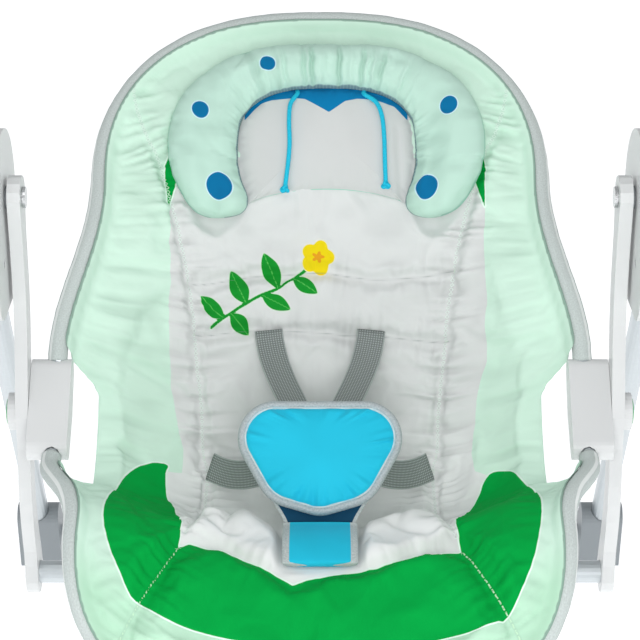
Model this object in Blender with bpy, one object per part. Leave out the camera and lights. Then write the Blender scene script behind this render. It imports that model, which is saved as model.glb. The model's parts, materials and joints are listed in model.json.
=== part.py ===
"""Electric baby swing: a padded bucket seat on a tube frame, hung between two folding A-frame legs.

Metres, +Z up. The origin is on the floor under the middle of the stand, the baby faces -Y and
the drive unit, with its knob, buttons and batteries, is on the +X side.
"""

import math

import bmesh
import bpy
from mathutils import Vector

# Clearance between pieces that touch
GAP = 0.0003

# Stand: A-frame legs, floor tubes and feet
PIVOT_Z = 0.500
LEG_RADIUS = 0.011
LEG_WALL = 0.0013
FLOOR_TUBE_RADIUS = 0.010
FLOOR_TUBE_WALL = 0.0013
FOOT_Y = 0.297
FOOT_AXIS_Z = 0.027
FOOT_HALF_WIDTH = 0.021
FOOT_RADIUS = 0.017
FOOT_NECK = 0.036
FOOT_NECK_RADIUS = 0.0145
FOOT_TOE = 0.024
FOOT_HEEL = 0.020
FOOT_SOLE_RADIUS = 0.004
FLOOR_TUBE_INSET = 0.012
PIN_Y = 0.026
PIN_DROP = 0.050
PIN_RADIUS = 0.004
KNUCKLE_RADIUS = 0.013
KNUCKLE_PLUG = 0.042
KNUCKLE_HALF_WIDTH = 0.0105
LEG_START = 0.018
REAR_LEG_START = -0.012

# Hubs: an inner and an outer shell on each side
HUB_RADIUS = 0.058
HUB_LEG_Y = 0.040
HUB_LEG_DROP = 0.070
HUB_LEG_RADIUS = 0.024
HUB_WALL = 0.0028
HUB_PLATE = 0.003
HUB_MOUTH = 0.074
HUB_EDGE_BEVEL = 0.003
BATTERY_WALL = 0.001
BOSS_WALL = 0.0035

# Drive unit
SHAFT_RADIUS = 0.005
SHAFT_TAIL = 0.0042
SHAFT_HEAD_RADIUS = 0.009
SHAFT_HEAD = 0.0027
BUSHING_RADIUS = 0.007
BUSHING_FLANGE_RADIUS = 0.010
BUSHING_LENGTH = 0.0125
LEVER_THICKNESS = 0.005
LEVER_EYE = 0.010
LEVER_REACH = 0.038
LEVER_TIP = 0.0095
MAGNET_RADIUS = 0.009
MAGNET_THICKNESS = 0.003
COIL_RADIUS = 0.015
COIL_BORE = 0.006
COIL_THICKNESS = 0.0087
COIL_CLEARANCE = 0.0005
SPEAKER_Y = 0.030
SPEAKER_RADIUS = 0.011
SPEAKER_DEPTH = 0.008
BOARD_HALF_WIDTH = 0.033
BOARD_LOW = -0.020
BOARD_HIGH = 0.036
BOARD_THICKNESS = 0.0016
BOARD_CORNER = 0.006
BOARD_POST_Y = 0.028
BOARD_POST_Z = 0.012
BOARD_POST_RADIUS = 0.0028
CELLS = 4
CELL_RADIUS = 0.00715
CELL_LENGTH = 0.0505
CELL_PITCH = 0.0150
CELL_LOW = -0.0795
BAY_MARGIN = 0.0006
DOOR_MARGIN = 0.0035
DOOR_THICKNESS = 0.003
KNOB_RADIUS = 0.019
KNOB_POCKET_DEPTH = 0.0078
KNOB_SPINDLE_RADIUS = 0.003
KNOB_RIB = 0.003
BUTTON_RADIUS = 0.0055
BUTTON_Y = 0.021
BUTTON_Z = 0.0285
BUTTON_TRAVEL = 0.0012
BUTTON_STEM_RADIUS = 0.002
FOLD_BUTTON_RADIUS = 0.0065
FOLD_BUTTON_DOWN = 0.028
FOLD_BUTTON_DEPTH = 0.009
FOLD_BUTTON_PROUD = 0.002

# Swing arms
ARM_THICKNESS = 0.011
ARM_HALF_WIDTH = 0.0125
ARM_EYE = 0.0185
ARM_UPPER_BOW = 0.010
ARM_LOWER_BOW = 0.012
RECLINE_STATION = 0.450
RECLINE_PIN_RADIUS = 0.006
CROSS_TUBE_BEHIND = 0.006
CROSS_TUBE_DROP = 0.160
CROSS_TUBE_RADIUS = 0.010
CROSS_TUBE_WALL = 0.0015
RECLINE_BUTTON_RADIUS = 0.012
RECLINE_HOUSING_WALL = 0.004
RECLINE_HOUSING_DEPTH = 0.007
RECLINE_BUTTON_PROUD = 0.0015
RECLINE_BUTTON_TRAVEL = 0.002

# Seat frame
FRAME_RADIUS = 0.007
FRAME_WALL = 0.0012
BRACKET_OVERLAP = 0.013
BRACKET_RADIUS = 0.0115
BRACKET_HALF_LENGTH = 0.042
BRACKET_SOCKET = 0.018
BRACKET_RELIEF = 0.025

# Seat profile, from the head end down the back, round the crease and over the knee roll
SEAT_TOP_Y = 0.220
SEAT_TOP_Z = 0.610
BACK_LENGTH = 0.395
BACK_ANGLE_TOP = 60.0
BACK_ANGLE_LOW = 64.0
CREASE_LENGTH = 0.140
RISE_LENGTH = 0.040
RISE_ANGLE = -24.0
KNEE_LENGTH = 0.105
FRONT_LENGTH = 0.075
FRONT_ANGLE = 50.0
WALL_LEAN = 88.0
SEAT_LENGTH = BACK_LENGTH + CREASE_LENGTH + RISE_LENGTH + KNEE_LENGTH + FRONT_LENGTH

# Seat outline, as half-widths along that profile, with a superellipse arch at each end
HEAD_START = 0.0145
HEAD_HALF_WIDTH = 0.196
HIP_HALF_WIDTH = 0.228
FRONT_HALF_WIDTH = 0.200
HEAD_ARCH = 0.170
FRONT_ARCH = 0.135
ARCH_POWER = 2.5
HIP_START = 0.400
HIP_END = 0.520
PANEL_HALF_WIDTH = 0.103
WALL_POWER = 1.6
WALL_DEPTH = 0.094

# Seat pad
PAD_THICKNESS = 0.014
PAD_EDGE = 0.006
PAD_PUFF = 0.006
PAD_SEAM_WIDTH = 0.013
PAD_CLEARANCE = 0.0022
UPPER_QUILT = 0.245
LOWER_QUILT = 0.300
SEAT_QUILT = 0.415
KNEE_QUILT = 0.540
BAND_QUILT = 0.652

# Pillow, belly pad and harness
PILLOW_X = 0.006
PILLOW_REACH = 0.113
PILLOW_HALF_BREADTH = 0.0335
PILLOW_TOP_HALF_BREADTH = 0.020
PILLOW_TOP = 0.062
PILLOW_TURN = 0.150
PILLOW_END = 0.166
PILLOW_HEIGHT = 0.030
PILLOW_POWER = 2.6
PILLOW_TIP_POWER = 3.0
PILLOW_TIP_SHARES = (0.97, 0.85, 0.68, 0.40, 0.0)
PILLOW_TOE_IN = 0.014
INSERT_MIDDLE = 0.132
INSERT_HOLLOW = 0.0148
INSERT_GAP = 0.0010
INSERT_HEIGHT = 0.016
INSERT_CLEARANCE = 0.0006
INSERT_FULLNESS = 2.2
SOFT_CLEARANCE = 0.0021
CORD_RADIUS = 0.002
CORD_LIFT = 0.0010
BELLY_STATION = 0.510
BELLY_AHEAD = 0.0295
BELLY_OVER = 0.0879
BELLY_TILT = 57.0
BELLY_LOBE_X = 0.0375
BELLY_LOBE_RISE = 0.018
BELLY_LOBE_RADIUS = 0.0315
BELLY_CHIN_DROP = 0.016
BELLY_CHIN_RADIUS = 0.031
BELLY_CROWN = 0.013
BELLY_EDGE = 0.004
BUCKLE_HALF_WIDTH = 0.026
BUCKLE_HALF_HEIGHT = 0.021
BUCKLE_DEPTH = 0.014
BUCKLE_CORNER = 0.006
BUCKLE_BUTTON_RADIUS = 0.009
BUCKLE_BUTTON_DEPTH = 0.006
BUCKLE_BUTTON_TRAVEL = 0.0024
WEBBING_WIDTH = 0.025
WEBBING_THICKNESS = 0.0018
CROTCH_WIDTH = 0.054
STRAP_END = 0.003
SHOULDER_SLOT = 0.300
SHOULDER_X = 0.046
SHOULDER_LIFT = 0.0050
SHOULDER_RUN = 0.045
SHOULDER_RISE = 0.014
SHOULDER_BEND_UP = 0.035
SHOULDER_BEND_BACK = 0.015
WAIST_SLOT = 0.432
WAIST_LIFT = 0.0125
WAIST_RUN = 0.026
WAIST_BEND_OUT = 0.030
WAIST_BEND_BACK = 0.008
WAIST_BEND_DOWN = 0.016
CROTCH_THICKNESS = 0.005
CROTCH_CLEARANCE = 0.0006
CROTCH_BELOW_RISE = 0.045
CROTCH_RUN = 0.020
CROTCH_RISE = 0.004
CROTCH_BEND = 0.012
CROTCH_SLOT = BACK_LENGTH + CREASE_LENGTH + RISE_LENGTH + CROTCH_BELOW_RISE

# Places across the width, each from the one before it, from the seat out to the hub's cap
ARM_CLEARANCE = 0.015
HUB_CLEARANCE = 0.003
LEG_DEPTH = 0.0135
SPLIT_INSET = 0.0005
LEG_CLEARANCE = 0.0005
BOARD_DEPTH = 0.0125
DOOR_SEAT = 0.0072
CAP_PROUD = 0.0018
BRACKET_INNER_X = HIP_HALF_WIDTH - BRACKET_OVERLAP
ARM_X = HIP_HALF_WIDTH + FRAME_RADIUS + ARM_CLEARANCE
HUB_INNER_X = ARM_X + ARM_THICKNESS + HUB_CLEARANCE
BUSHING_END_X = HUB_INNER_X + BUSHING_LENGTH
LEVER_X = HUB_INNER_X + HUB_PLATE + COIL_THICKNESS + COIL_CLEARANCE + MAGNET_THICKNESS + 2 * GAP
SHAFT_END_X = LEVER_X + LEVER_THICKNESS + SHAFT_TAIL
LEG_X = HUB_INNER_X + HUB_PLATE + LEG_DEPTH + KNUCKLE_HALF_WIDTH
HUB_SPLIT_X = LEG_X - SPLIT_INSET
HUB_BAY_X = LEG_X + LEG_RADIUS + LEG_CLEARANCE
HUB_BAY_FLOOR_X = HUB_BAY_X + BOARD_DEPTH
HUB_FACE_X = HUB_BAY_X + BATTERY_WALL + 2 * (CELL_RADIUS + BAY_MARGIN) + DOOR_SEAT
HUB_CAP_X = HUB_FACE_X + CAP_PROUD

# Each cord leaves the insert's top seam and hangs over its crown to a knot: (x, s) points
CORD_ROUTES = {
    "left": (
        (-0.0205, 0.0875),
        (-0.0265, 0.0975),
        (-0.0277, 0.1135),
        (-0.0272, 0.1340),
        (-0.0285, 0.1520),
        (-0.0300, 0.1635),
        (-0.0311, 0.1715),
    ),
    "right": (
        (0.0400, 0.0875),
        (0.0505, 0.0955),
        (0.0555, 0.1085),
        (0.0575, 0.1275),
        (0.0580, 0.1480),
        (0.0587, 0.1680),
    ),
}

# Facets of round pieces
HUB_STEPS = 36
ROUND_STEPS = 24
LEG_STEPS = 20
SMALL_STEPS = 16
TUBE_STEPS = 10
PROFILE_STEP = 0.001
ARCH_STEPS = 16
SIDE_STEPS = 7
PAD_COLUMNS = 9
PAD_ROWS = 28
ARM_STEPS = 10
ARM_END_STEPS = 7
CORD_POINTS = 14
INSERT_EDGE_STEPS = 8
STRAP_POINTS = 9

# Materials: colour, roughness, metallic
LOOKS = {
    "white_plastic": ((0.86, 0.87, 0.86), 0.38, 0.0),
    "grey_plastic": ((0.42, 0.46, 0.48), 0.45, 0.0),
    "green_plastic": ((0.02, 0.48, 0.16), 0.35, 0.0),
    "blue_plastic": ((0.02, 0.42, 0.70), 0.35, 0.0),
    "frame_tube": ((0.60, 0.64, 0.66), 0.32, 0.6),
    "steel": ((0.62, 0.63, 0.64), 0.25, 1.0),
    "copper": ((0.72, 0.36, 0.18), 0.35, 1.0),
    "board": ((0.02, 0.24, 0.10), 0.45, 0.0),
    "mint_fabric": ((0.62, 0.90, 0.74), 0.90, 0.0),
    "pillow_fabric": ((0.52, 0.84, 0.70), 0.90, 0.0),
    "light_fabric": ((0.78, 0.79, 0.77), 0.92, 0.0),
    "cyan_fabric": ((0.02, 0.62, 0.80), 0.85, 0.0),
    "webbing": ((0.26, 0.29, 0.30), 0.80, 0.0),
}

X_AXIS = Vector((1, 0, 0))


def clear_scene():
    for obj in list(bpy.data.objects):
        bpy.data.objects.remove(obj)


def make_material(name):
    colour, roughness, metallic = LOOKS[name]
    found = bpy.data.materials.get(name)
    if found:
        return found
    made = bpy.data.materials.new(name)
    made.use_nodes = True
    shader = made.node_tree.nodes["Principled BSDF"]
    shader.inputs["Base Color"].default_value = (*colour, 1)
    shader.inputs["Roughness"].default_value = roughness
    shader.inputs["Metallic"].default_value = metallic
    return made


def add_mesh(name, points, faces, look, centre):
    """A named object whose origin is at centre, from points in world coordinates."""
    mesh = bpy.data.meshes.new(name)
    mesh.from_pydata([tuple(Vector(p) - Vector(centre)) for p in points], [], faces)
    work = bmesh.new()
    work.from_mesh(mesh)
    bmesh.ops.recalc_face_normals(work, faces=work.faces)
    work.to_mesh(mesh)
    work.free()
    mesh.shade_smooth()
    mesh.set_sharp_from_angle(angle=math.radians(35))
    obj = bpy.data.objects.new(name, mesh)
    obj.location = centre
    bpy.context.collection.objects.link(obj)
    if look:
        mesh.materials.append(make_material(look))
    else:
        obj.hide_render = True
        obj.display_type = "WIRE"
    return obj


def combine(obj, tool, operation):
    """A Boolean with a hidden tool that moves with the object."""
    tool.hide_render = True
    tool.display_type = "WIRE"
    tool.parent = obj
    tool.matrix_parent_inverse.translation = -obj.location
    modifier = obj.modifiers.new(tool.name, "BOOLEAN")
    modifier.operation = operation
    modifier.object = tool


def cut(obj, tool):
    combine(obj, tool, "DIFFERENCE")


def join(obj, tool):
    combine(obj, tool, "UNION")


def ring_faces(rings, closed_rings, cap_ends):
    """Faces between successive rings of indices, which all have the same length."""
    faces = []
    count = len(rings)
    for i in range(count if closed_rings else count - 1):
        low, high = rings[i], rings[(i + 1) % count]
        size = len(low)
        for j in range(size):
            k = (j + 1) % size
            faces.append((low[j], low[k], high[k], high[j]))
    if cap_ends:
        faces.append(tuple(rings[0]))
        faces.append(tuple(reversed(rings[-1])))
    return faces


def turned(name, profile, centre, look, axis=X_AXIS, steps=ROUND_STEPS):
    """A closed profile of (radius, distance along axis) turned round axis through centre.

    A profile that starts and ends on the axis gives a solid, any other gives a ring.
    """
    axis = Vector(axis).normalized()
    side = axis.orthogonal().normalized()
    other = axis.cross(side)
    points = []
    rings = []
    for radius, along in profile:
        ring = []
        for step in range(1 if radius == 0 else steps):
            turn = 2 * math.pi * step / steps
            out = side * math.cos(turn) + other * math.sin(turn)
            ring.append(len(points))
            points.append(Vector(centre) + axis * along + out * radius)
        rings.append(ring * steps if radius == 0 else ring)
    solid = profile[0][0] == 0
    faces = []
    for face in ring_faces(rings, not solid, False):
        corners = list(dict.fromkeys(face))
        if len(corners) > 2:
            faces.append(corners)
    return add_mesh(name, points, faces, look, centre)


def disc(name, radius, low, high, centre, look, axis=X_AXIS, steps=ROUND_STEPS):
    return turned(name, [(0, low), (radius, low), (radius, high), (0, high)], centre, look, axis, steps)


def washer(name, bore, radius, low, high, centre, look, axis=X_AXIS, steps=ROUND_STEPS):
    profile = [(bore, low), (radius, low), (radius, high), (bore, high)]
    return turned(name, profile, centre, look, axis, steps)


def prism(name, outline, x_low, x_high, look, centre=(0, 0, 0)):
    """An outline of (y, z) extruded along X."""
    size = len(outline)
    points = [(x, y, z) for x in (x_low, x_high) for y, z in outline]
    rings = [list(range(size)), list(range(size, 2 * size))]
    return add_mesh(name, points, ring_faces(rings, False, True), look, centre)


def box(name, low, high, look, centre=(0, 0, 0)):
    outline = [(low[1], low[2]), (high[1], low[2]), (high[1], high[2]), (low[1], high[2])]
    return prism(name, outline, low[0], high[0], look, centre)


def hull(circles, steps=ROUND_STEPS):
    """The convex outline round circles given as (y, z, radius)."""
    points = sorted(
        (y + r * math.cos(2 * math.pi * i / steps), z + r * math.sin(2 * math.pi * i / steps))
        for y, z, r in circles
        for i in range(steps)
    )

    def chain(ordered):
        kept = []
        for p in ordered:
            while len(kept) > 1:
                (ay, az), (by, bz) = kept[-2], kept[-1]
                if (by - ay) * (p[1] - az) - (bz - az) * (p[0] - ay) > 1e-9:
                    break
                kept.pop()
            kept.append(p)
        return kept[:-1]

    return chain(points) + chain(points[::-1])


def path_frames(path):
    """Two directions square to the path at each point, carried along without twist."""
    path = [Vector(p) for p in path]
    tangents = []
    for i in range(len(path)):
        tangents.append((path[min(i + 1, len(path) - 1)] - path[max(i - 1, 0)]).normalized())
    side = tangents[0].orthogonal().normalized()
    frames = []
    for tangent in tangents:
        side = (side - tangent * side.dot(tangent)).normalized()
        frames.append((side, tangent.cross(side)))
    return path, frames


def tube(name, path, radius, wall, look, centre, steps=TUBE_STEPS):
    """A round tube along a path, solid where wall is 0."""
    path, frames = path_frames(path)
    points = []
    rings = []
    for bore in [False, True] if wall else [False]:
        size = radius - wall if bore else radius
        stations = list(zip(path, frames))
        for at, (side, other) in reversed(stations) if bore else stations:
            rings.append(list(range(len(points), len(points) + steps)))
            for step in range(steps):
                turn = 2 * math.pi * step / steps
                points.append(at + (side * math.cos(turn) + other * math.sin(turn)) * size)
    return add_mesh(name, points, ring_faces(rings, bool(wall), not wall), look, centre)


def ribbon(name, path, width, thickness, across, look):
    """A flat strip along a path, with its width turned as near as it goes to a given direction."""
    points = []
    rings = []
    for i, at in enumerate(path):
        ahead = (path[min(i + 1, len(path) - 1)] - path[max(i - 1, 0)]).normalized()
        side = (across - ahead * across.dot(ahead)).normalized() * width / 2
        up = ahead.cross(side).normalized() * thickness / 2
        rings.append(list(range(len(points), len(points) + 4)))
        points += [at - side - up, at + side - up, at + side + up, at - side + up]
    return add_mesh(name, points, ring_faces(rings, False, True), look, path[0])


def empty(name, location, parent=None):
    """The joint that carries a moving body."""
    made = bpy.data.objects.new(name, None)
    bpy.context.collection.objects.link(made)
    made.location = Vector(location) - (parent.location if parent else Vector())
    made.parent = parent
    return made


def world_of(obj):
    total = Vector(obj.location)
    while obj.parent:
        obj = obj.parent
        total += obj.location
    return total


def carry(joint, *pieces):
    for piece in pieces:
        piece.location = Vector(piece.location) - world_of(joint)
        piece.parent = joint


def smooth_step(value):
    value = min(max(value, 0.0), 1.0)
    return value * value * (3 - 2 * value)


# Seat surface

def profile_angle(s):
    """Slope of the seat's middle line below the horizontal, in radians, s metres from the head end."""
    stretches = (
        (BACK_LENGTH, BACK_ANGLE_TOP, BACK_ANGLE_LOW),
        (CREASE_LENGTH, BACK_ANGLE_LOW, RISE_ANGLE),
        (RISE_LENGTH, RISE_ANGLE, RISE_ANGLE),
        (KNEE_LENGTH, RISE_ANGLE, FRONT_ANGLE),
        (FRONT_LENGTH, FRONT_ANGLE, FRONT_ANGLE),
    )
    for length, first, last in stretches:
        if s <= length or length == FRONT_LENGTH:
            return math.radians(first + (last - first) * min(s / length, 1.0))
        s -= length
    return math.radians(FRONT_ANGLE)


profile_line = [Vector((0, SEAT_TOP_Y, SEAT_TOP_Z))]
for station in range(int(SEAT_LENGTH / PROFILE_STEP) + 2):
    slope = profile_angle((station + 0.5) * PROFILE_STEP)
    ahead_step = Vector((0, -math.cos(slope), -math.sin(slope))) * PROFILE_STEP
    profile_line.append(profile_line[-1] + ahead_step)


def profile_point(s):
    place = min(max(s / PROFILE_STEP, 0.0), len(profile_line) - 1.001)
    index = int(place)
    return profile_line[index].lerp(profile_line[index + 1], place - index)


def side_half_width(s):
    """Half-width of the seat outline between its two arches."""
    head_end = HEAD_START + HEAD_ARCH
    widen = smooth_step((s - head_end) / (HIP_START - head_end))
    narrow = smooth_step((s - HIP_END) / (SEAT_LENGTH - FRONT_ARCH - HIP_END))
    return HEAD_HALF_WIDTH + (HIP_HALF_WIDTH - HEAD_HALF_WIDTH) * widen + (
        FRONT_HALF_WIDTH - HIP_HALF_WIDTH
    ) * narrow


def half_width(s, inset=0.0, end_inset=0.0):
    """Half-width of the whole outline, drawn in by inset at the sides and end_inset at the ends."""
    width = side_half_width(s) - inset
    for into, arch in ((s - HEAD_START, HEAD_ARCH), (SEAT_LENGTH - s, FRONT_ARCH)):
        if into < arch:
            share = min((arch - into) / (arch - end_inset), 1.0)
            width *= (1 - share**ARCH_POWER) ** (1 / ARCH_POWER)
    return width


def wall_depth(s):
    """How far the seat's edge stands above its middle line."""
    t = s / SEAT_LENGTH
    rise = smooth_step(t / 0.58)
    fall = 1 - smooth_step((t - 0.56) / 0.44)
    return WALL_DEPTH * rise * fall


def wall_direction(s):
    """The walls rise square to the back at the head end and turn upright towards the front."""
    lean = math.radians(BACK_ANGLE_LOW - WALL_LEAN * s / SEAT_LENGTH)
    return Vector((0, -math.sin(lean), math.cos(lean)))


def seat_point(x, s):
    """The middle of the pad's thickness."""
    share = abs(x) / max(half_width(s), PANEL_HALF_WIDTH)
    start = PANEL_HALF_WIDTH / HIP_HALF_WIDTH
    climb = max((share - start) / (1 - start), 0.0) ** WALL_POWER
    return profile_point(s) + X_AXIS * x + wall_direction(s) * wall_depth(s) * climb


def seat_normal(x, s):
    step = 0.002
    low, high = max(s - step, 0.0), min(s + step, SEAT_LENGTH)
    along = seat_point(x, high) - seat_point(x, low)
    across = seat_point(x + step, s) - seat_point(x - step, s)
    return across.cross(along).normalized() * -1


def pad_front(x, s):
    """Height of the pad's front face over its middle surface, with its sewn channels."""
    edge = half_width(s, FRAME_RADIUS, FRAME_RADIUS) - abs(x)
    ends = min(s - HEAD_START, SEAT_LENGTH - s)
    seams = [abs(abs(x) - PANEL_HALF_WIDTH) if s < SEAT_QUILT else 1.0]
    seams += [abs(s - line) for line in (UPPER_QUILT, LOWER_QUILT) if abs(x) < PANEL_HALF_WIDTH]
    seams += [abs(s - line) for line in (SEAT_QUILT, KNEE_QUILT, BAND_QUILT)]
    nearest = min(seams)
    swell = 1 - math.exp(-((nearest / PAD_SEAM_WIDTH) ** 2))
    rim = smooth_step(min(edge, ends) / 0.03)
    flat = PAD_EDGE + (PAD_THICKNESS - PAD_EDGE) * rim
    return flat / 2 + PAD_PUFF * swell * rim


def over_seat(x, s, height):
    """A point above the pad's front face."""
    return seat_point(x, s) + seat_normal(x, s) * (pad_front(x, s) + height)


def edge_inset(s):
    """Distance across from the frame tube's middle to the pad's edge, where the wall slopes."""
    share = 1 - PANEL_HALF_WIDTH / HIP_HALF_WIDTH
    slope = wall_depth(s) * WALL_POWER / (share * side_half_width(s))
    return (FRAME_RADIUS + PAD_CLEARANCE) / math.sqrt(1 + slope * slope)


def rim_side(s, side):
    return seat_point(side * side_half_width(s), s)


def rim_arch(turn, arch, far):
    """A point of an end arch, from 0 at its right end to pi at its left."""
    across = math.copysign(abs(math.cos(turn)) ** (2 / ARCH_POWER), math.cos(turn))
    reach = arch * (1 - math.sin(turn) ** (2 / ARCH_POWER))
    s = SEAT_LENGTH - reach if far else HEAD_START + reach
    return seat_point(side_half_width(s) * across, s)


def frame_path(first, arch, far):
    """The frame tube's middle line from the right bracket round an end to the left one."""
    last = SEAT_LENGTH - arch if far else HEAD_START + arch
    stretch = [first + (last - first) * i / SIDE_STEPS for i in range(SIDE_STEPS)]
    right = [rim_side(s, 1) for s in stretch]
    turn = [rim_arch(math.pi * i / ARCH_STEPS, arch, far) for i in range(ARCH_STEPS + 1)]
    left = [rim_side(s, -1) for s in reversed(stretch)]
    return right + turn + left


RECLINE = rim_side(RECLINE_STATION, 1) * Vector((0, 1, 1))
CROSS = RECLINE + Vector((0, CROSS_TUBE_BEHIND, -CROSS_TUBE_DROP))
PIVOT = Vector((0, 0, PIVOT_Z))
SIDES = (("right", 1), ("left", -1))


# Stand

def leg_line(end):
    """A leg's pin, its foot and the direction between, for end -1 at the front or 1 at the rear."""
    pin = Vector((0, end * PIN_Y, PIVOT_Z - PIN_DROP))
    foot = Vector((0, end * FOOT_Y, FOOT_AXIS_Z))
    return pin, foot, (foot - pin).normalized()


def make_leg(end, side, start):
    pin, foot, down = leg_line(end)
    x = X_AXIS * side * LEG_X
    path = [pin + x + down * start, foot + x - down * (FLOOR_TUBE_RADIUS + FLOOR_TUBE_WALL)]
    name = f"{'front' if end < 0 else 'rear'}_leg_{'right' if side > 0 else 'left'}"
    return tube(name, path, LEG_RADIUS, LEG_WALL, "frame_tube", pin + x, LEG_STEPS)


def make_foot(end, side):
    pin, foot, down = leg_line(end)
    neck = foot - down * FOOT_NECK
    outline = hull(
        [
            (foot.y, foot.z, FOOT_RADIUS),
            (neck.y, neck.z, FOOT_NECK_RADIUS),
            (foot.y + end * FOOT_TOE, FOOT_SOLE_RADIUS, FOOT_SOLE_RADIUS),
            (foot.y - end * FOOT_HEEL, FOOT_SOLE_RADIUS, FOOT_SOLE_RADIUS),
        ]
    )
    name = f"{'front' if end < 0 else 'rear'}_foot_{'right' if side > 0 else 'left'}"
    x_low, x_high = LEG_X - FOOT_HALF_WIDTH, LEG_X + FOOT_HALF_WIDTH
    body = prism(name, outline, side * x_low, side * x_high, "grey_plastic", foot)
    x = X_AXIS * side * LEG_X
    past = neck - down * FOOT_NECK
    leg_hole = LEG_RADIUS + GAP
    leg_socket = tube(name + "_leg_socket", [foot + x, past + x], leg_hole, 0, None, foot + x, LEG_STEPS)
    floor_socket = disc(
        name + "_tube_socket",
        FLOOR_TUBE_RADIUS + GAP,
        x_low - FOOT_HALF_WIDTH,
        x_high - FLOOR_TUBE_INSET + GAP,
        foot,
        None,
        X_AXIS * side,
    )
    cut(body, leg_socket)
    cut(body, floor_socket)
    return body


def make_floor_tube(end):
    foot = leg_line(end)[1]
    reach = X_AXIS * (LEG_X + FOOT_HALF_WIDTH - FLOOR_TUBE_INSET)
    name = f"{'front' if end < 0 else 'rear'}_floor_tube"
    path = [foot - reach, foot + reach]
    return tube(name, path, FLOOR_TUBE_RADIUS, FLOOR_TUBE_WALL, "frame_tube", foot, LEG_STEPS)


def make_knuckle(side):
    """The eye that plugs into the top of a front leg and turns on its fold pin."""
    pin, foot, down = leg_line(-1)
    x = X_AXIS * side * LEG_X
    name = f"front_knuckle_{'right' if side > 0 else 'left'}"
    eye = disc(
        name, KNUCKLE_RADIUS, -KNUCKLE_HALF_WIDTH, KNUCKLE_HALF_WIDTH, pin + x, "grey_plastic"
    )
    plug_radius = LEG_RADIUS - LEG_WALL - GAP
    path = [pin + x, pin + x + down * KNUCKLE_PLUG]
    plug = tube(name + "_plug", path, plug_radius, 0, None, pin + x, SMALL_STEPS)
    reach = LEG_RADIUS * 2
    hole = disc(name + "_hole", PIN_RADIUS + GAP, -reach, reach, pin + x, None, steps=SMALL_STEPS)
    join(eye, plug)
    cut(eye, hole)
    return eye


def make_fold_pin(side):
    pin = leg_line(-1)[0]
    low, high = HUB_INNER_X + GAP, HUB_BAY_X - GAP
    name = f"fold_pin_{'right' if side > 0 else 'left'}"
    return disc(name, PIN_RADIUS, low, high, pin, "steel", X_AXIS * side, SMALL_STEPS)


# Hubs

def hub_outline(inset=0.0):
    return hull(
        [
            (0, PIVOT_Z, HUB_RADIUS - inset),
            (-HUB_LEG_Y, PIVOT_Z - HUB_LEG_DROP, HUB_LEG_RADIUS - inset),
            (HUB_LEG_Y, PIVOT_Z - HUB_LEG_DROP, HUB_LEG_RADIUS - inset),
        ],
        HUB_STEPS,
    )


def cut_mouth(shell, side, low, high):
    """Opens the bottom of a shell's wall, where the legs come out and the front one folds."""
    wide = HUB_RADIUS + HUB_LEG_RADIUS
    top = PIVOT_Z - HUB_MOUTH
    tool = box(shell.name + "_mouth", (side * low, -wide, top - wide), (side * high, wide, top), None)
    cut(shell, tool)


def make_inner_shell(side):
    name = f"hub_inner_shell_{'right' if side > 0 else 'left'}"
    inside = HUB_INNER_X + HUB_PLATE
    beyond = HUB_SPLIT_X + HUB_WALL
    front_pin = leg_line(-1)[0]
    rear_pin = leg_line(1)[0]
    out = X_AXIS * side
    shell = prism(name, hub_outline(), side * HUB_INNER_X, side * HUB_SPLIT_X, "white_plastic", PIVOT)
    cut(shell, prism(name + "_cavity", hub_outline(HUB_WALL), side * inside, side * beyond, None, PIVOT))
    cut_mouth(shell, side, inside, beyond)
    root = inside - HUB_PLATE / 2
    bushing_boss = BUSHING_RADIUS + GAP + BOSS_WALL
    pin_boss = PIN_RADIUS + GAP + BOSS_WALL
    knuckle_face = LEG_X - KNUCKLE_HALF_WIDTH - GAP
    join(shell, disc(name + "_bushing_boss", bushing_boss, root, BUSHING_END_X, PIVOT, None, out))
    join(shell, disc(name + "_pin_boss", pin_boss, root, knuckle_face, front_pin, None, out, SMALL_STEPS))
    stud_end = HUB_BAY_X - GAP
    join(shell, disc(name + "_leg_stud", PIN_RADIUS, root, stud_end, rear_pin, None, out, SMALL_STEPS))
    low = HUB_INNER_X - HUB_PLATE
    cut(shell, disc(name + "_bushing_bore", BUSHING_RADIUS + GAP, low, beyond, PIVOT, None, out))
    cut(shell, disc(name + "_pin_bore", PIN_RADIUS + GAP, low, beyond, front_pin, None, out, SMALL_STEPS))
    return shell


def fold_button_seat(side):
    """Where a fold button passes through the hub's front wall, and the direction it points."""
    centre = Vector((0, 0, PIVOT_Z))
    to_leg = Vector((0, -HUB_LEG_Y, -HUB_LEG_DROP))
    along = (HUB_RADIUS - HUB_LEG_RADIUS) / to_leg.length
    to_leg.normalize()
    outward = Vector((0, -to_leg.z, to_leg.y)) * -1
    outward = to_leg * along + outward * math.sqrt(1 - along * along)
    down = Vector((0, outward.z, -outward.y)) * -1
    down = down if down.z < 0 else -down
    x = X_AXIS * side * (HUB_BAY_X + FOLD_BUTTON_RADIUS - 2 * GAP)
    return centre + outward * HUB_RADIUS + down * FOLD_BUTTON_DOWN + x, outward


def bay_size():
    half = (CELLS - 1) / 2 * CELL_PITCH + CELL_RADIUS + BAY_MARGIN
    low = PIVOT_Z + CELL_LOW - BAY_MARGIN
    return half, low, low + CELL_LENGTH + 2 * BAY_MARGIN


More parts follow.
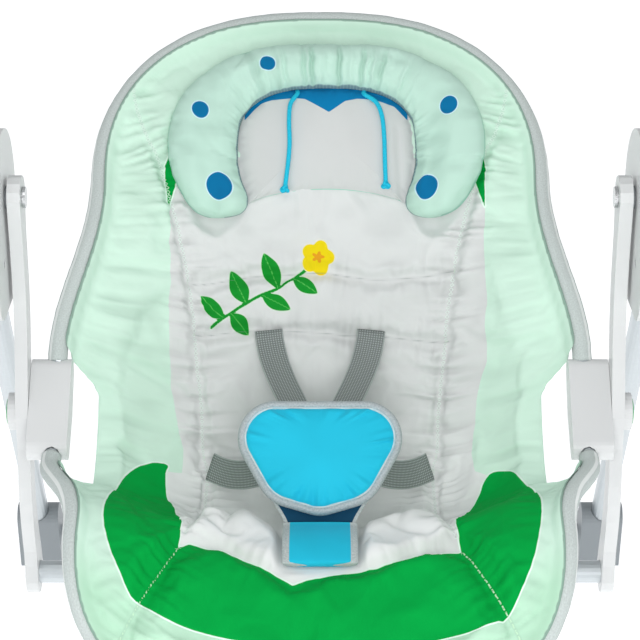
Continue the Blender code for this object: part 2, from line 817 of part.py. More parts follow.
def make_outer_shell(side):
    name = f"hub_outer_shell_{'right' if side > 0 else 'left'}"
    out = X_AXIS * side
    stations = (
        (HUB_SPLIT_X + GAP, 0),
        (HUB_FACE_X - HUB_EDGE_BEVEL, 0),
        (HUB_FACE_X - HUB_EDGE_BEVEL * 0.3, HUB_EDGE_BEVEL * 0.3),
        (HUB_FACE_X, HUB_EDGE_BEVEL),
    )
    points = []
    rings = []
    for x, inset in stations:
        outline = hub_outline(inset)
        rings.append(list(range(len(points), len(points) + len(outline))))
        points += [(side * x, y, z) for y, z in outline]
    shell = add_mesh(name, points, ring_faces(rings, False, True), "white_plastic", PIVOT)
    before = HUB_SPLIT_X - HUB_WALL
    beyond = HUB_CAP_X + HUB_WALL
    cut(shell, prism(name + "_cavity", hub_outline(HUB_WALL), side * before, side * HUB_BAY_X, None, PIVOT))
    cut_mouth(shell, side, before, HUB_BAY_X)
    board_limit = PIVOT_Z + BOARD_LOW - BAY_MARGIN
    dome_radius = HUB_RADIUS - HUB_WALL
    chord = math.sqrt(dome_radius**2 - (board_limit - PIVOT_Z) ** 2)
    whole = hull([(0, PIVOT_Z, dome_radius)], HUB_STEPS)
    dome = [(y, z) for y, z in whole if z > board_limit + HUB_WALL]
    dome += [(-chord, board_limit), (chord, board_limit)]
    dome.sort(key=lambda p: math.atan2(p[1] - PIVOT_Z, p[0]))
    cut(shell, prism(name + "_board_space", dome, side * before, side * HUB_BAY_FLOOR_X, None, PIVOT))
    half, low, high = bay_size()
    seat, outward = fold_button_seat(side)
    cut(
        shell,
        disc(
            name + "_fold_button_hole",
            FOLD_BUTTON_RADIUS + GAP,
            -FOLD_BUTTON_DEPTH - HUB_WALL,
            FOLD_BUTTON_DEPTH,
            seat,
            None,
            outward,
            SMALL_STEPS,
        ),
    )
    if side < 0:
        inside = (side * before, -half, low), (side * (HUB_FACE_X - HUB_PLATE), half, high)
        cut(shell, box(name + "_hollow", *inside, None))
        cap = disc(name + "_raised_disc", HUB_RADIUS / 2, HUB_FACE_X - HUB_WALL, HUB_CAP_X, PIVOT, None, out)
        join(shell, cap)
        return shell
    bay = (HUB_BAY_X + BATTERY_WALL, -half, low), (beyond, half, high)
    cut(shell, box(name + "_battery_bay", *bay, None))
    edge = DOOR_MARGIN + GAP
    ledge = HUB_FACE_X - DOOR_THICKNESS - GAP
    recess = (ledge, -half - edge, low - edge), (beyond, half + edge, high + edge)
    cut(shell, box(name + "_door_recess", *recess, None))
    pocket_floor = HUB_FACE_X - KNOB_POCKET_DEPTH
    cut(shell, disc(name + "_knob_pocket", KNOB_RADIUS + 2 * GAP, pocket_floor, beyond, PIVOT, None))
    spindle = KNOB_SPINDLE_RADIUS + GAP
    cut(shell, disc(name + "_spindle_hole", spindle, before, beyond, PIVOT, None, steps=SMALL_STEPS))
    for y in (-BUTTON_Y, BUTTON_Y):
        at = PIVOT + Vector((0, y, BUTTON_Z))
        hole = BUTTON_RADIUS + GAP
        cut(shell, disc(f"{name}_button_hole_{y}", hole, before, beyond, at, None, steps=SMALL_STEPS))
        post = PIVOT + Vector((0, math.copysign(BOARD_POST_Y, y), BOARD_POST_Z))
        board_face = HUB_BAY_X + BATTERY_WALL + BOARD_THICKNESS + GAP
        top = HUB_BAY_FLOOR_X + HUB_WALL / 2
        radius = BOARD_POST_RADIUS
        join(shell, disc(f"{name}_post_{y}", radius, board_face, top, post, None, steps=SMALL_STEPS))
    return shell


# Drive unit

def make_shaft(side):
    start = ARM_X - GAP - SHAFT_HEAD
    profile = [
        (0, start),
        (SHAFT_HEAD_RADIUS, start),
        (SHAFT_HEAD_RADIUS, ARM_X - GAP),
        (SHAFT_RADIUS, ARM_X - GAP),
        (SHAFT_RADIUS, SHAFT_END_X),
        (0, SHAFT_END_X),
    ]
    name = f"swing_shaft_{'right' if side > 0 else 'left'}"
    return turned(name, profile, PIVOT, "steel", X_AXIS * side)


def make_bushing(side):
    bore = SHAFT_RADIUS + GAP
    start, shoulder = ARM_X + ARM_THICKNESS + GAP, HUB_INNER_X - GAP
    profile = [
        (bore, start),
        (BUSHING_FLANGE_RADIUS, start),
        (BUSHING_FLANGE_RADIUS, shoulder),
        (BUSHING_RADIUS, shoulder),
        (BUSHING_RADIUS, BUSHING_END_X),
        (bore, BUSHING_END_X),
    ]
    name = f"shaft_bushing_{'right' if side > 0 else 'left'}"
    return turned(name, profile, PIVOT, "grey_plastic", X_AXIS * side, SMALL_STEPS)


def make_drive():
    """The lever and magnet that turn with the swing shaft, and the coil that pushes them."""
    tip = PIVOT_Z + LEVER_REACH
    outline = hull([(0, PIVOT_Z, LEVER_EYE), (0, tip, LEVER_TIP)])
    lever = prism("magnet_lever", outline, LEVER_X, LEVER_X + LEVER_THICKNESS, "grey_plastic", PIVOT)
    cut(lever, disc("magnet_lever_bore", SHAFT_RADIUS + GAP, 0, 1, PIVOT, None))
    at = PIVOT + Vector((0, 0, LEVER_REACH))
    face = LEVER_X - GAP
    magnet = disc("drive_magnet", MAGNET_RADIUS, face - MAGNET_THICKNESS, face, at, "steel")
    wall = HUB_INNER_X + HUB_PLATE + GAP
    coil = washer("drive_coil", COIL_BORE, COIL_RADIUS, wall, wall + COIL_THICKNESS, at, "copper")
    return lever, magnet, coil


def make_speaker():
    wall = HUB_INNER_X + HUB_PLATE + GAP
    at = PIVOT + Vector((0, SPEAKER_Y, 0))
    cone = SPEAKER_RADIUS * 0.75
    profile = [
        (0, wall),
        (SPEAKER_RADIUS, wall),
        (SPEAKER_RADIUS, wall + SPEAKER_DEPTH / 3),
        (cone, wall + SPEAKER_DEPTH / 3),
        (cone * 0.6, wall + SPEAKER_DEPTH),
        (0, wall + SPEAKER_DEPTH),
    ]
    return turned("speaker", profile, at, "grey_plastic", steps=SMALL_STEPS)


def make_board():
    low, high = PIVOT_Z + BOARD_LOW, PIVOT_Z + BOARD_HIGH
    inner = BOARD_CORNER
    outline = hull(
        [
            (y, z, inner)
            for y in (inner - BOARD_HALF_WIDTH, BOARD_HALF_WIDTH - inner)
            for z in (low + inner, high - inner)
        ]
    )
    back = HUB_BAY_X + BATTERY_WALL
    return prism("circuit_board", outline, back, back + BOARD_THICKNESS, "board", PIVOT)


def make_cells():
    low = PIVOT_Z + CELL_LOW
    nub = CELL_RADIUS * 0.38
    shoulder = CELL_LENGTH - BAY_MARGIN * 2
    x = HUB_BAY_X + BATTERY_WALL + GAP + CELL_RADIUS
    profile = [
        (0, 0),
        (CELL_RADIUS, 0),
        (CELL_RADIUS, shoulder),
        (nub, shoulder),
        (nub, CELL_LENGTH),
        (0, CELL_LENGTH),
    ]
    for i in range(CELLS):
        at = Vector((x, (i - (CELLS - 1) / 2) * CELL_PITCH, low))
        turned(f"battery_cell_{i + 1}", profile, at, "steel", Vector((0, 0, 1)), SMALL_STEPS)


def make_door():
    half, low, high = bay_size()
    face = HUB_FACE_X
    low_corner = (face - DOOR_THICKNESS, -half - DOOR_MARGIN, low - DOOR_MARGIN)
    high_corner = (face, half + DOOR_MARGIN, high + DOOR_MARGIN)
    return box("battery_door", low_corner, high_corner, "white_plastic", (face, 0, low))


def make_knob():
    tip = HUB_BAY_X + BATTERY_WALL + BOARD_THICKNESS + GAP
    floor = HUB_FACE_X - KNOB_POCKET_DEPTH + GAP
    edge = HUB_CAP_X - KNOB_RIB / 2
    profile = [
        (0, tip),
        (KNOB_SPINDLE_RADIUS, tip),
        (KNOB_SPINDLE_RADIUS, floor),
        (KNOB_RADIUS, floor),
        (KNOB_RADIUS, edge),
        (KNOB_RADIUS - KNOB_RIB / 2, HUB_CAP_X),
        (0, HUB_CAP_X),
    ]
    knob = turned("speed_knob", profile, PIVOT, "green_plastic")
    mark_low = (HUB_CAP_X - KNOB_RIB / 3, -KNOB_RIB / 2, PIVOT_Z + KNOB_RADIUS * 0.45)
    mark_high = (HUB_CAP_X + KNOB_RIB, KNOB_RIB / 2, PIVOT_Z + KNOB_RADIUS * 0.82)
    cut(knob, box("speed_knob_mark", mark_low, mark_high, None, PIVOT))
    return knob


def make_button(name, y, look):
    stem_end = HUB_BAY_X + BATTERY_WALL + BOARD_THICKNESS + GAP + BUTTON_TRAVEL
    cap_low = HUB_BAY_FLOOR_X + GAP + BUTTON_TRAVEL
    profile = [
        (0, stem_end),
        (BUTTON_STEM_RADIUS, stem_end),
        (BUTTON_STEM_RADIUS, cap_low),
        (BUTTON_RADIUS, cap_low),
        (BUTTON_RADIUS, HUB_CAP_X - GAP),
        (0, HUB_CAP_X),
    ]
    return turned(name, profile, PIVOT + Vector((0, y, BUTTON_Z)), look, steps=SMALL_STEPS)


def make_fold_button(side):
    seat, outward = fold_button_seat(side)
    name = f"fold_button_{'right' if side > 0 else 'left'}"
    low, high = -FOLD_BUTTON_DEPTH, FOLD_BUTTON_PROUD
    return disc(name, FOLD_BUTTON_RADIUS, low, high, seat, "green_plastic", outward, SMALL_STEPS)


# Swing arms

def arm_line():
    """Middle line of a swing arm, from the shaft down to the recline pivot and the cross tube."""
    upper = []
    lower = []
    for i in range(ARM_STEPS + 1):
        t = i / ARM_STEPS
        bow = math.sin(math.pi * t) ** 2
        upper.append(PIVOT.lerp(RECLINE, t) + Vector((0, ARM_UPPER_BOW, 0)) * bow)
        lower.append(RECLINE.lerp(CROSS, t) - Vector((0, ARM_LOWER_BOW, 0)) * bow)
    return upper + lower[1:]


def arm_outline():
    line = arm_line()
    left, right = [], []
    for i, at in enumerate(line):
        ahead = (line[min(i + 1, len(line) - 1)] - line[max(i - 1, 0)]).normalized()
        across = Vector((0, -ahead.z, ahead.y))
        nearest = min((at - eye).length for eye in (PIVOT, RECLINE, CROSS))
        swell = math.exp(-((nearest / ARM_EYE) ** 2))
        width = ARM_HALF_WIDTH + (ARM_EYE - ARM_HALF_WIDTH) * swell
        left.append(at + across * width)
        right.append(at - across * width)

    def round_end(centre, first):
        arm = first - centre
        turned_points = []
        for i in range(1, ARM_END_STEPS):
            turn = -math.pi * i / ARM_END_STEPS
            c, s = math.cos(turn), math.sin(turn)
            turned_points.append(centre + Vector((0, arm.y * c - arm.z * s, arm.y * s + arm.z * c)))
        return turned_points

    outline = left + round_end(CROSS, left[-1]) + right[::-1] + round_end(PIVOT, right[0])
    return [(p.y, p.z) for p in outline]


def make_arm(side):
    name = f"swing_arm_{'right' if side > 0 else 'left'}"
    out = X_AXIS * side
    face = ARM_X + ARM_THICKNESS
    arm = prism(name, arm_outline(), side * ARM_X, side * face, "white_plastic", PIVOT)
    pocket = RECLINE_BUTTON_RADIUS + GAP
    rim = pocket + RECLINE_HOUSING_WALL
    root = face - ARM_THICKNESS / 4
    top = face + RECLINE_HOUSING_DEPTH
    join(arm, washer(name + "_housing", pocket, rim, root, top, RECLINE, None, out))
    for label, at, radius in (
        ("shaft", PIVOT, SHAFT_RADIUS),
        ("pin", RECLINE, RECLINE_PIN_RADIUS),
        ("tube", CROSS, CROSS_TUBE_RADIUS),
    ):
        cut(arm, disc(f"{name}_{label}_hole", radius + GAP, ARM_X - ARM_EYE, face + ARM_EYE, at, None, out))
    return arm


def make_recline_button(side):
    name = f"recline_button_{'right' if side > 0 else 'left'}"
    face = ARM_X + ARM_THICKNESS
    low = face + GAP + RECLINE_BUTTON_TRAVEL
    high = face + RECLINE_HOUSING_DEPTH + RECLINE_BUTTON_PROUD
    edge = RECLINE_BUTTON_PROUD / 2
    profile = [
        (0, low),
        (RECLINE_BUTTON_RADIUS, low),
        (RECLINE_BUTTON_RADIUS, high - edge),
        (RECLINE_BUTTON_RADIUS - edge, high),
        (0, high),
    ]
    return turned(name, profile, RECLINE, "green_plastic", X_AXIS * side)


def make_cross_tube():
    reach = X_AXIS * (ARM_X + ARM_THICKNESS)
    path = [CROSS - reach, CROSS + reach]
    return tube("arm_cross_tube", path, CROSS_TUBE_RADIUS, CROSS_TUBE_WALL, "frame_tube", CROSS, LEG_STEPS)


# Seat frame

SOCKET_RADIUS = (FRAME_RADIUS + GAP) / math.cos(math.pi / TUBE_STEPS)


def back_frame_line():
    return frame_path(RECLINE_STATION - BRACKET_SOCKET, HEAD_ARCH, False)


def front_frame_line():
    return frame_path(RECLINE_STATION + BRACKET_SOCKET, FRONT_ARCH, True)


def make_bracket(side):
    """Holds the ends of both frame tubes and turns on its stub in the swing arm."""
    name = f"seat_bracket_{'right' if side > 0 else 'left'}"
    circles = []
    for offset in (-BRACKET_HALF_LENGTH, 0, BRACKET_HALF_LENGTH):
        at = rim_side(RECLINE_STATION + offset, side)
        circles.append((at.y, at.z, BRACKET_RADIUS))
    face = ARM_X - GAP
    block = prism(name, hull(circles), side * BRACKET_INNER_X, side * face, "white_plastic", RECLINE)
    stub_end = ARM_X + ARM_THICKNESS - GAP
    out = X_AXIS * side
    stub_start = face - BRACKET_RADIUS
    join(block, disc(name + "_stub", RECLINE_PIN_RADIUS, stub_start, stub_end, RECLINE, None, out))
    for label, path in (("back", back_frame_line()), ("front", front_frame_line())):
        near = path[:5] if side > 0 else path[:-6:-1]
        near[0] = near[0] + (near[0] - near[1]).normalized() * GAP
        cut(block, tube(f"{name}_{label}_socket", near, SOCKET_RADIUS, 0, None, RECLINE))
    return block


def make_frame_tubes():
    return (
        tube("back_frame_tube", back_frame_line(), FRAME_RADIUS, FRAME_WALL, "frame_tube", RECLINE),
        tube("front_frame_tube", front_frame_line(), FRAME_RADIUS, FRAME_WALL, "frame_tube", RECLINE),
    )


# Seat pad

def pad_half_width(s):
    away = abs(s - RECLINE_STATION) - BRACKET_HALF_LENGTH - BRACKET_RADIUS
    relief = BRACKET_RELIEF * (1 - smooth_step(away / (2 * BRACKET_RADIUS)))
    return half_width(s, edge_inset(s) + relief, FRAME_RADIUS + PAD_CLEARANCE)


def make_seat_cover():
    """A thick sheet sewn in channels, drawn down to its edge along the frame tubes."""
    ends = FRAME_RADIUS + PAD_CLEARANCE
    middle = (HEAD_START + SEAT_LENGTH) / 2
    reach = SEAT_LENGTH - middle - ends - 2 * GAP
    rows = [middle - reach * math.cos(math.pi * i / PAD_ROWS) for i in range(PAD_ROWS + 1)]
    front, back = [], []
    for s in rows:
        edge = pad_half_width(s)
        seam = min(PANEL_HALF_WIDTH, edge * 0.6)
        across = [seam * i / 4 for i in range(5)]
        across += [seam + (edge - seam) * i / (PAD_COLUMNS - 4) for i in range(1, PAD_COLUMNS - 3)]
        line = [-x for x in reversed(across[1:])] + across
        front.append([over_seat(x, s, 0) for x in line])
        back.append([seat_point(x, s) - seat_normal(x, s) * PAD_EDGE / 2 for x in line])
    width = len(front[0])
    points = [p for row in front for p in row] + [p for row in back for p in row]
    offset = width * len(rows)
    faces = []
    for i in range(len(rows) - 1):
        for j in range(width - 1):
            a = i * width + j
            faces.append((a, a + 1, a + width + 1, a + width))
            faces.append((offset + a, offset + a + width, offset + a + width + 1, offset + a + 1))
        for j in (0, width - 1):
            a = i * width + j
            faces.append((a, a + width, offset + a + width, offset + a))
    for i in (0, len(rows) - 1):
        for j in range(width - 1):
            a = i * width + j
            faces.append((a, a + 1, offset + a + 1, offset + a))
    return add_mesh("seat_cover", points, faces, "mint_fabric", RECLINE)


# Head pillow

def pillow_line():
    """Middle line of the horseshoe as (x, s, half-breadth), from its right end to its left."""
    tip = []
    for share in PILLOW_TIP_SHARES:
        tip.append((share, (1 - share**PILLOW_TIP_POWER) ** (1 / PILLOW_TIP_POWER)))
    right = []
    for along, breadth in tip:
        s = PILLOW_END + along * PILLOW_HALF_BREADTH
        length = PILLOW_END + PILLOW_HALF_BREADTH - PILLOW_TURN
        toe = PILLOW_TOE_IN * smooth_step((s - PILLOW_TURN) / length)
        right.append((PILLOW_REACH - toe, s, breadth * PILLOW_HALF_BREADTH))
    arch = []
    for i in range(ARCH_STEPS + 1):
        turn = math.pi * i / ARCH_STEPS
        across = math.copysign(abs(math.cos(turn)) ** (2 / PILLOW_POWER), math.cos(turn))
        rise = math.sin(turn) ** (2 / PILLOW_POWER)
        breadth = PILLOW_HALF_BREADTH + (PILLOW_TOP_HALF_BREADTH - PILLOW_HALF_BREADTH) * rise * rise
        arch.append((PILLOW_REACH * across, PILLOW_TURN - (PILLOW_TURN - PILLOW_TOP) * rise, breadth))
    left = [(-x, s, breadth) for x, s, breadth in reversed(right)]
    return right + arch + left


def pillow_edge(line, place, across, beyond=0.0):
    """A point (x, s) at a share of the pillow's half-breadth, above 0 towards its inner side."""
    x, s, breadth = line[place]
    before, after = line[max(place - 1, 0)], line[min(place + 1, len(line) - 1)]
    turn = after[0] - before[0] if s < PILLOW_TURN else 0
    ahead = Vector((turn, after[1] - before[1])).normalized()
    reach = across * breadth + beyond
    return PILLOW_X + x + ahead.y * reach, s - ahead.x * reach


def make_head_pillow():
    """A horseshoe with a crowned section and a flat underside."""
    crown = ((1.0, 0.16), (0.80, 0.66), (0.36, 0.97))
    base = ((-0.62, 0.0), (0.62, 0.0))
    section = (*crown, *((-across, up) for across, up in reversed(crown)), *base)
    line = pillow_line()
    points, rings = [], []
    for i in range(len(line)):
        rings.append(list(range(len(points), len(points) + len(section))))
        height = PILLOW_HEIGHT * math.sqrt(line[i][2] / PILLOW_HALF_BREADTH)
        for across, up in section:
            points.append(over_seat(*pillow_edge(line, i, across), SOFT_CLEARANCE + up * height))
    return add_mesh("head_pillow", points, ring_faces(rings, False, True), "pillow_fabric", RECLINE)


def insert_outline():
    """The insert's edge round its middle: along the pillow's inner edge, then a hollow lower edge."""
    line = pillow_line()
    ends = len(PILLOW_TIP_SHARES) // 2
    rim = [Vector(pillow_edge(line, i, 1, INSERT_GAP)) for i in range(ends, len(line) - ends)]
    right, left = rim[0], rim[-1]
    for i in range(1, INSERT_EDGE_STEPS):
        share = i / INSERT_EDGE_STEPS
        hollow = INSERT_HOLLOW * math.sin(math.pi * share) ** 0.6
        rim.append(left.lerp(right, share) - Vector((0, hollow)))
    return [p - Vector((PILLOW_X, INSERT_MIDDLE)) for p in rim]


INSERT_OUTLINE = insert_outline()


def insert_height(x, s):
    """Height of the insert's crown over the pad, 0 at its edge."""
    place = Vector((x - PILLOW_X, s - INSERT_MIDDLE))
    for a, b in zip(INSERT_OUTLINE, INSERT_OUTLINE[1:] + INSERT_OUTLINE[:1]):
        area = a.x * b.y - a.y * b.x
        towards_a = (place.x * b.y - place.y * b.x) / area
        towards_b = (a.x * place.y - a.y * place.x) / area
        if towards_a >= 0 and towards_b >= 0:
            out = towards_a + towards_b
            return INSERT_HEIGHT * max(1 - out**INSERT_FULLNESS, 0.0) ** 0.6
    return INSERT_HEIGHT


def make_pillow_insert():
    points, rings = [], []
    for scale, lift in ((0.90, -1), (1.0, 0.18), (0.93, 0), (0.78, 0), (0.55, 0), (0.28, 0)):
        rings.append(list(range(len(points), len(points) + len(INSERT_OUTLINE))))
        for edge in INSERT_OUTLINE:
            x, s = edge.x * scale + PILLOW_X, edge.y * scale + INSERT_MIDDLE
            height = 0 if lift < 0 else max(insert_height(x, s), lift * INSERT_HEIGHT)
            points.append(over_seat(x, s, INSERT_CLEARANCE + height))
    return add_mesh("pillow_insert", points, ring_faces(rings, False, True), "light_fabric", RECLINE)


def through_points(route, count):
    """A smooth Catmull-Rom curve through a list of points."""
    route = [Vector(p) for p in route]
    padded = [route[0] * 2 - route[1], *route, route[-1] * 2 - route[-2]]
    spans = len(route) - 1
    curve = []
    for i in range(count):
        place = min(spans * i / (count - 1), spans - 1e-6)
        span = int(place)
        t = place - span
        a, b, c, d = padded[span : span + 4]
        bend = a * -1 + b * 3 - c * 3 + d
        curve.append((b * 2 + (c - a) * t + (a * 2 - b * 5 + c * 4 - d) * t * t + bend * t**3) / 2)
    return curve


def make_cord(side_name):
    heights = [
        over_seat(x, s, INSERT_CLEARANCE + insert_height(x, s) + CORD_RADIUS + CORD_LIFT)
        for x, s in CORD_ROUTES[side_name]
    ]
    name = f"pillow_cord_{side_name}"
    curve = bpy.data.curves.new(name, "CURVE")
    curve.dimensions = "3D"
    curve.bevel_depth = CORD_RADIUS
    curve.bevel_resolution = 2
    curve.use_fill_caps = True
    points = through_points(heights, CORD_POINTS)
    spline = curve.splines.new("POLY")
    spline.points.add(len(points) - 1)
    for point, at in zip(spline.points, points):
        point.co = (*(at - RECLINE), 1)
    obj = bpy.data.objects.new(name, curve)
    obj.location = RECLINE
    bpy.context.collection.objects.link(obj)
    curve.materials.append(make_material("cyan_fabric"))
    return obj


# Belly pad and harness

BELLY = profile_point(BELLY_STATION) + Vector((0, -BELLY_AHEAD, BELLY_OVER))
BELLY_UP = Vector((0, math.cos(math.radians(BELLY_TILT)), math.sin(math.radians(BELLY_TILT))))
BELLY_OUT = Vector((0, -BELLY_UP.z, BELLY_UP.y))


def on_belly(x, up, out):
    return BELLY + X_AXIS * x + BELLY_UP * up + BELLY_OUT * out


def make_belly_pad():
    """A rounded triangle with a crowned front and a flat back."""
    outline = hull(
        [
            (-BELLY_LOBE_X, BELLY_LOBE_RISE, BELLY_LOBE_RADIUS),
            (BELLY_LOBE_X, BELLY_LOBE_RISE, BELLY_LOBE_RADIUS),
            (0, -BELLY_CHIN_DROP, BELLY_CHIN_RADIUS),
        ]
    )
    points, rings = [], []
    for scale, out in (
        (0.94, -BELLY_EDGE),
        (1.0, -BELLY_EDGE * 0.4),
        (1.0, BELLY_EDGE * 0.4),
        (0.93, BELLY_CROWN * 0.55),
        (0.78, BELLY_CROWN * 0.82),
        (0.52, BELLY_CROWN * 0.96),
        (0.24, BELLY_CROWN),
    ):
        rings.append(list(range(len(points), len(points) + len(outline))))
        points += [on_belly(x * scale, up * scale, out) for x, up in outline]
    return add_mesh("belly_pad", points, ring_faces(rings, False, True), "cyan_fabric", BELLY)


def make_buckle():
    corner = BUCKLE_CORNER
    outline = hull(
        [
            (x, up, corner)
            for x in (corner - BUCKLE_HALF_WIDTH, BUCKLE_HALF_WIDTH - corner)
            for up in (corner - BUCKLE_HALF_HEIGHT, BUCKLE_HALF_HEIGHT - corner)
        ],
        SMALL_STEPS,
    )
    size = len(outline)
    points = []
    face = -BELLY_EDGE - GAP
    for out in (face - BUCKLE_DEPTH, face):
        points += [on_belly(x, up, out) for x, up in outline]
    rings = [list(range(size)), list(range(size, 2 * size))]
    centre = on_belly(0, 0, face)
    body = add_mesh("buckle_body", points, ring_faces(rings, False, True), "grey_plastic", centre)
    recess = BUCKLE_BUTTON_DEPTH + GAP
    cut(body, disc("buckle_recess", BUCKLE_BUTTON_RADIUS + GAP, -recess, recess, centre, None, BELLY_OUT))
    low = BUCKLE_BUTTON_TRAVEL - BUCKLE_BUTTON_DEPTH
    button = disc("buckle_button", BUCKLE_BUTTON_RADIUS, low, 0, centre, "green_plastic", BELLY_OUT)
    return body, button


def bezier(a, b, c, d, count):
    """A curve from a to d that ends in a short straight run into what it meets."""
    points = []
    for i in range(count):
        t = i / (count - 1)
        u = 1 - t
        points.append(a * u**3 + b * 3 * u * u * t + c * 3 * u * t * t + d * t**3)
    return points


def make_shoulder_strap(side_name, side):
    """Webbing from its slot in the back to the top of the buckle."""
    x = side * SHOULDER_X
    first = over_seat(x, SHOULDER_SLOT, SHOULDER_LIFT)
    second = over_seat(x * 0.9, SHOULDER_SLOT + SHOULDER_RUN, SHOULDER_RISE)
    across = side * BUCKLE_HALF_WIDTH * 0.5
    depth = -BELLY_EDGE - GAP - BUCKLE_DEPTH / 2
    top = BUCKLE_HALF_HEIGHT + GAP
    bend = on_belly(across * 1.5, top + SHOULDER_BEND_UP, depth - SHOULDER_BEND_BACK)
    path = bezier(first, second, bend, on_belly(across, top + STRAP_END, depth), STRAP_POINTS)
    path.append(on_belly(across, top, depth))
    return ribbon(f"shoulder_strap_{side_name}", path, WEBBING_WIDTH, WEBBING_THICKNESS, X_AXIS, "webbing")


def make_waist_strap(side_name, side):
    """Webbing from the seam beside the hips to the side of the buckle."""
    x = side * (PANEL_HALF_WIDTH - WEBBING_WIDTH / 4)
    first = over_seat(x, WAIST_SLOT, WAIST_LIFT)
    second = first - Vector((side * WAIST_RUN, WAIST_RUN, WEBBING_THICKNESS))
    depth = -BELLY_EDGE - GAP - BUCKLE_DEPTH / 2
    reach = BUCKLE_HALF_WIDTH + GAP
    near = on_belly(side * (reach + STRAP_END), 0, depth)
    bend = near + Vector((side * WAIST_BEND_OUT, WAIST_BEND_BACK, -WAIST_BEND_DOWN))
    path = bezier(first, second, bend, near, STRAP_POINTS)
    path.append(on_belly(side * reach, 0, depth))
    return ribbon(f"waist_strap_{side_name}", path, WEBBING_WIDTH, WEBBING_THICKNESS, BELLY_UP, "webbing")


def make_crotch_strap():
    """The padded sleeve that comes out of the seat in front of the knee roll's crest."""
    reach = BELLY_CHIN_DROP + BELLY_CHIN_RADIUS + GAP * 2
    last = on_belly(0, -reach - STRAP_END, 0)
    lift = CROTCH_THICKNESS / 2 + CROTCH_CLEARANCE
    first = over_seat(0, CROTCH_SLOT, lift)
    second = over_seat(0, CROTCH_SLOT - CROTCH_RUN, lift + CROTCH_RISE)
    bend = on_belly(0, -reach - CROTCH_BEND, 0)
    path = bezier(first, second, bend, last, 7)
    path.append(on_belly(0, -reach, 0))
    return ribbon("crotch_strap", path, CROTCH_WIDTH, CROTCH_THICKNESS, X_AXIS, "cyan_fabric")


def main():
    clear_scene()
    for end in (-1, 1):
        make_floor_tube(end)
    fold = empty("fold_joint", leg_line(-1)[0])
    swing = empty("swing_joint", PIVOT)
    recline = empty("recline_joint", RECLINE, swing)
    carry(fold, bpy.data.objects["front_floor_tube"])
    for side_name, side in SIDES:
        rear_leg = make_leg(1, side, REAR_LEG_START)
        stud = leg_line(1)[0] + X_AXIS * side * LEG_X
        reach = 2 * LEG_RADIUS
        radius = PIN_RADIUS + GAP
        hole = disc(f"stud_hole_{side_name}", radius, -reach, reach, stud, None, steps=SMALL_STEPS)
        cut(rear_leg, hole)
        make_foot(1, side)
        carry(fold, make_leg(-1, side, LEG_START), make_foot(-1, side), make_knuckle(side))
        make_fold_pin(side)
        make_inner_shell(side)
        make_outer_shell(side)
        make_bushing(side)
        make_fold_button(side)
        carry(swing, make_shaft(side), make_arm(side), make_recline_button(side))
        carry(recline, make_bracket(side))
    lever, magnet, coil = make_drive()
    carry(swing, lever, magnet, make_cross_tube())
    make_speaker()
    make_board()
    make_cells()
    make_door()
    make_knob()
    make_button("power_button", -BUTTON_Y, "green_plastic")
    make_button("music_button", BUTTON_Y, "blue_plastic")
    carry(recline, *make_frame_tubes())
    carry(recline, make_seat_cover(), make_head_pillow(), make_pillow_insert())
    carry(recline, make_belly_pad(), *make_buckle(), make_crotch_strap())
    for side_name, side in SIDES:
        carry(recline, make_cord(side_name))
        carry(recline, make_shoulder_strap(side_name, side), make_waist_strap(side_name, side))


main()
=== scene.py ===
import math

import bpy
import numpy as np
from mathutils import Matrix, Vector
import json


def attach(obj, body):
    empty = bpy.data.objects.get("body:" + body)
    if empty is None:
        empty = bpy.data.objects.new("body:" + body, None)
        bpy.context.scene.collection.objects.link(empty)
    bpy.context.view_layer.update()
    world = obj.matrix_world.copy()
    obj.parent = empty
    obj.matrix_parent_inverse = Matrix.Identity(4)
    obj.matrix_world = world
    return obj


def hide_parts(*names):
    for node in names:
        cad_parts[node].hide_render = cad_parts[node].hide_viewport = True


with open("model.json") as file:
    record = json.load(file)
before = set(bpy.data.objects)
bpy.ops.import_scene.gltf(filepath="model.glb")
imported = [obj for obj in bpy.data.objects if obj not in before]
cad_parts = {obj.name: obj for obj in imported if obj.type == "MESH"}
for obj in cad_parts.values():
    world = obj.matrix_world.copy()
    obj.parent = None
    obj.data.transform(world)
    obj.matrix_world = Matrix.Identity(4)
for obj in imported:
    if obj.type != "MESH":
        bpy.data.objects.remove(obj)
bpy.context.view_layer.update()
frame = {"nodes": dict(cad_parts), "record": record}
nodes = frame["nodes"]

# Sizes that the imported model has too, in metres
FRAME_RADIUS = 0.007
SEAT_TOP = (0.220, 0.610)
SEAT_STRETCHES = (
    (0.395, 60.0, 64.0),
    (0.140, 64.0, -24.0),
    (0.040, -24.0, -24.0),
    (0.105, -24.0, 50.0),
    (0.075, 50.0, 50.0),
)
SEAT_LENGTH = 0.755
BACK_ANGLE_LOW = 64.0
WALL_LEAN = 88.0
HEAD_START = 0.0145
HEAD_HALF_WIDTH, HIP_HALF_WIDTH, FRONT_HALF_WIDTH = 0.196, 0.228, 0.200
HEAD_ARCH, FRONT_ARCH, ARCH_POWER = 0.170, 0.135, 2.5
HEAD_END = HEAD_START + HEAD_ARCH
HIP_START, HIP_END = 0.400, 0.520
PANEL_HALF_WIDTH, WALL_POWER, WALL_DEPTH = 0.103, 1.6, 0.094
PAD_THICKNESS, PAD_EDGE, PAD_PUFF, PAD_SEAM_WIDTH = 0.014, 0.006, 0.006, 0.013
QUILT_LINES = (0.245, 0.300, 0.415, 0.540, 0.652)
SEAT_QUILT = 0.415
RECLINE_STATION = 0.450
BRACKET_REACH = 0.0535
PILLOW_X = 0.006
PILLOW_REACH, PILLOW_POWER, PILLOW_TOE_IN = 0.113, 2.6, 0.014
PILLOW_HALF_BREADTH, PILLOW_TOP_HALF_BREADTH = 0.0335, 0.020
PILLOW_TOP, PILLOW_TURN, PILLOW_END = 0.062, 0.150, 0.166
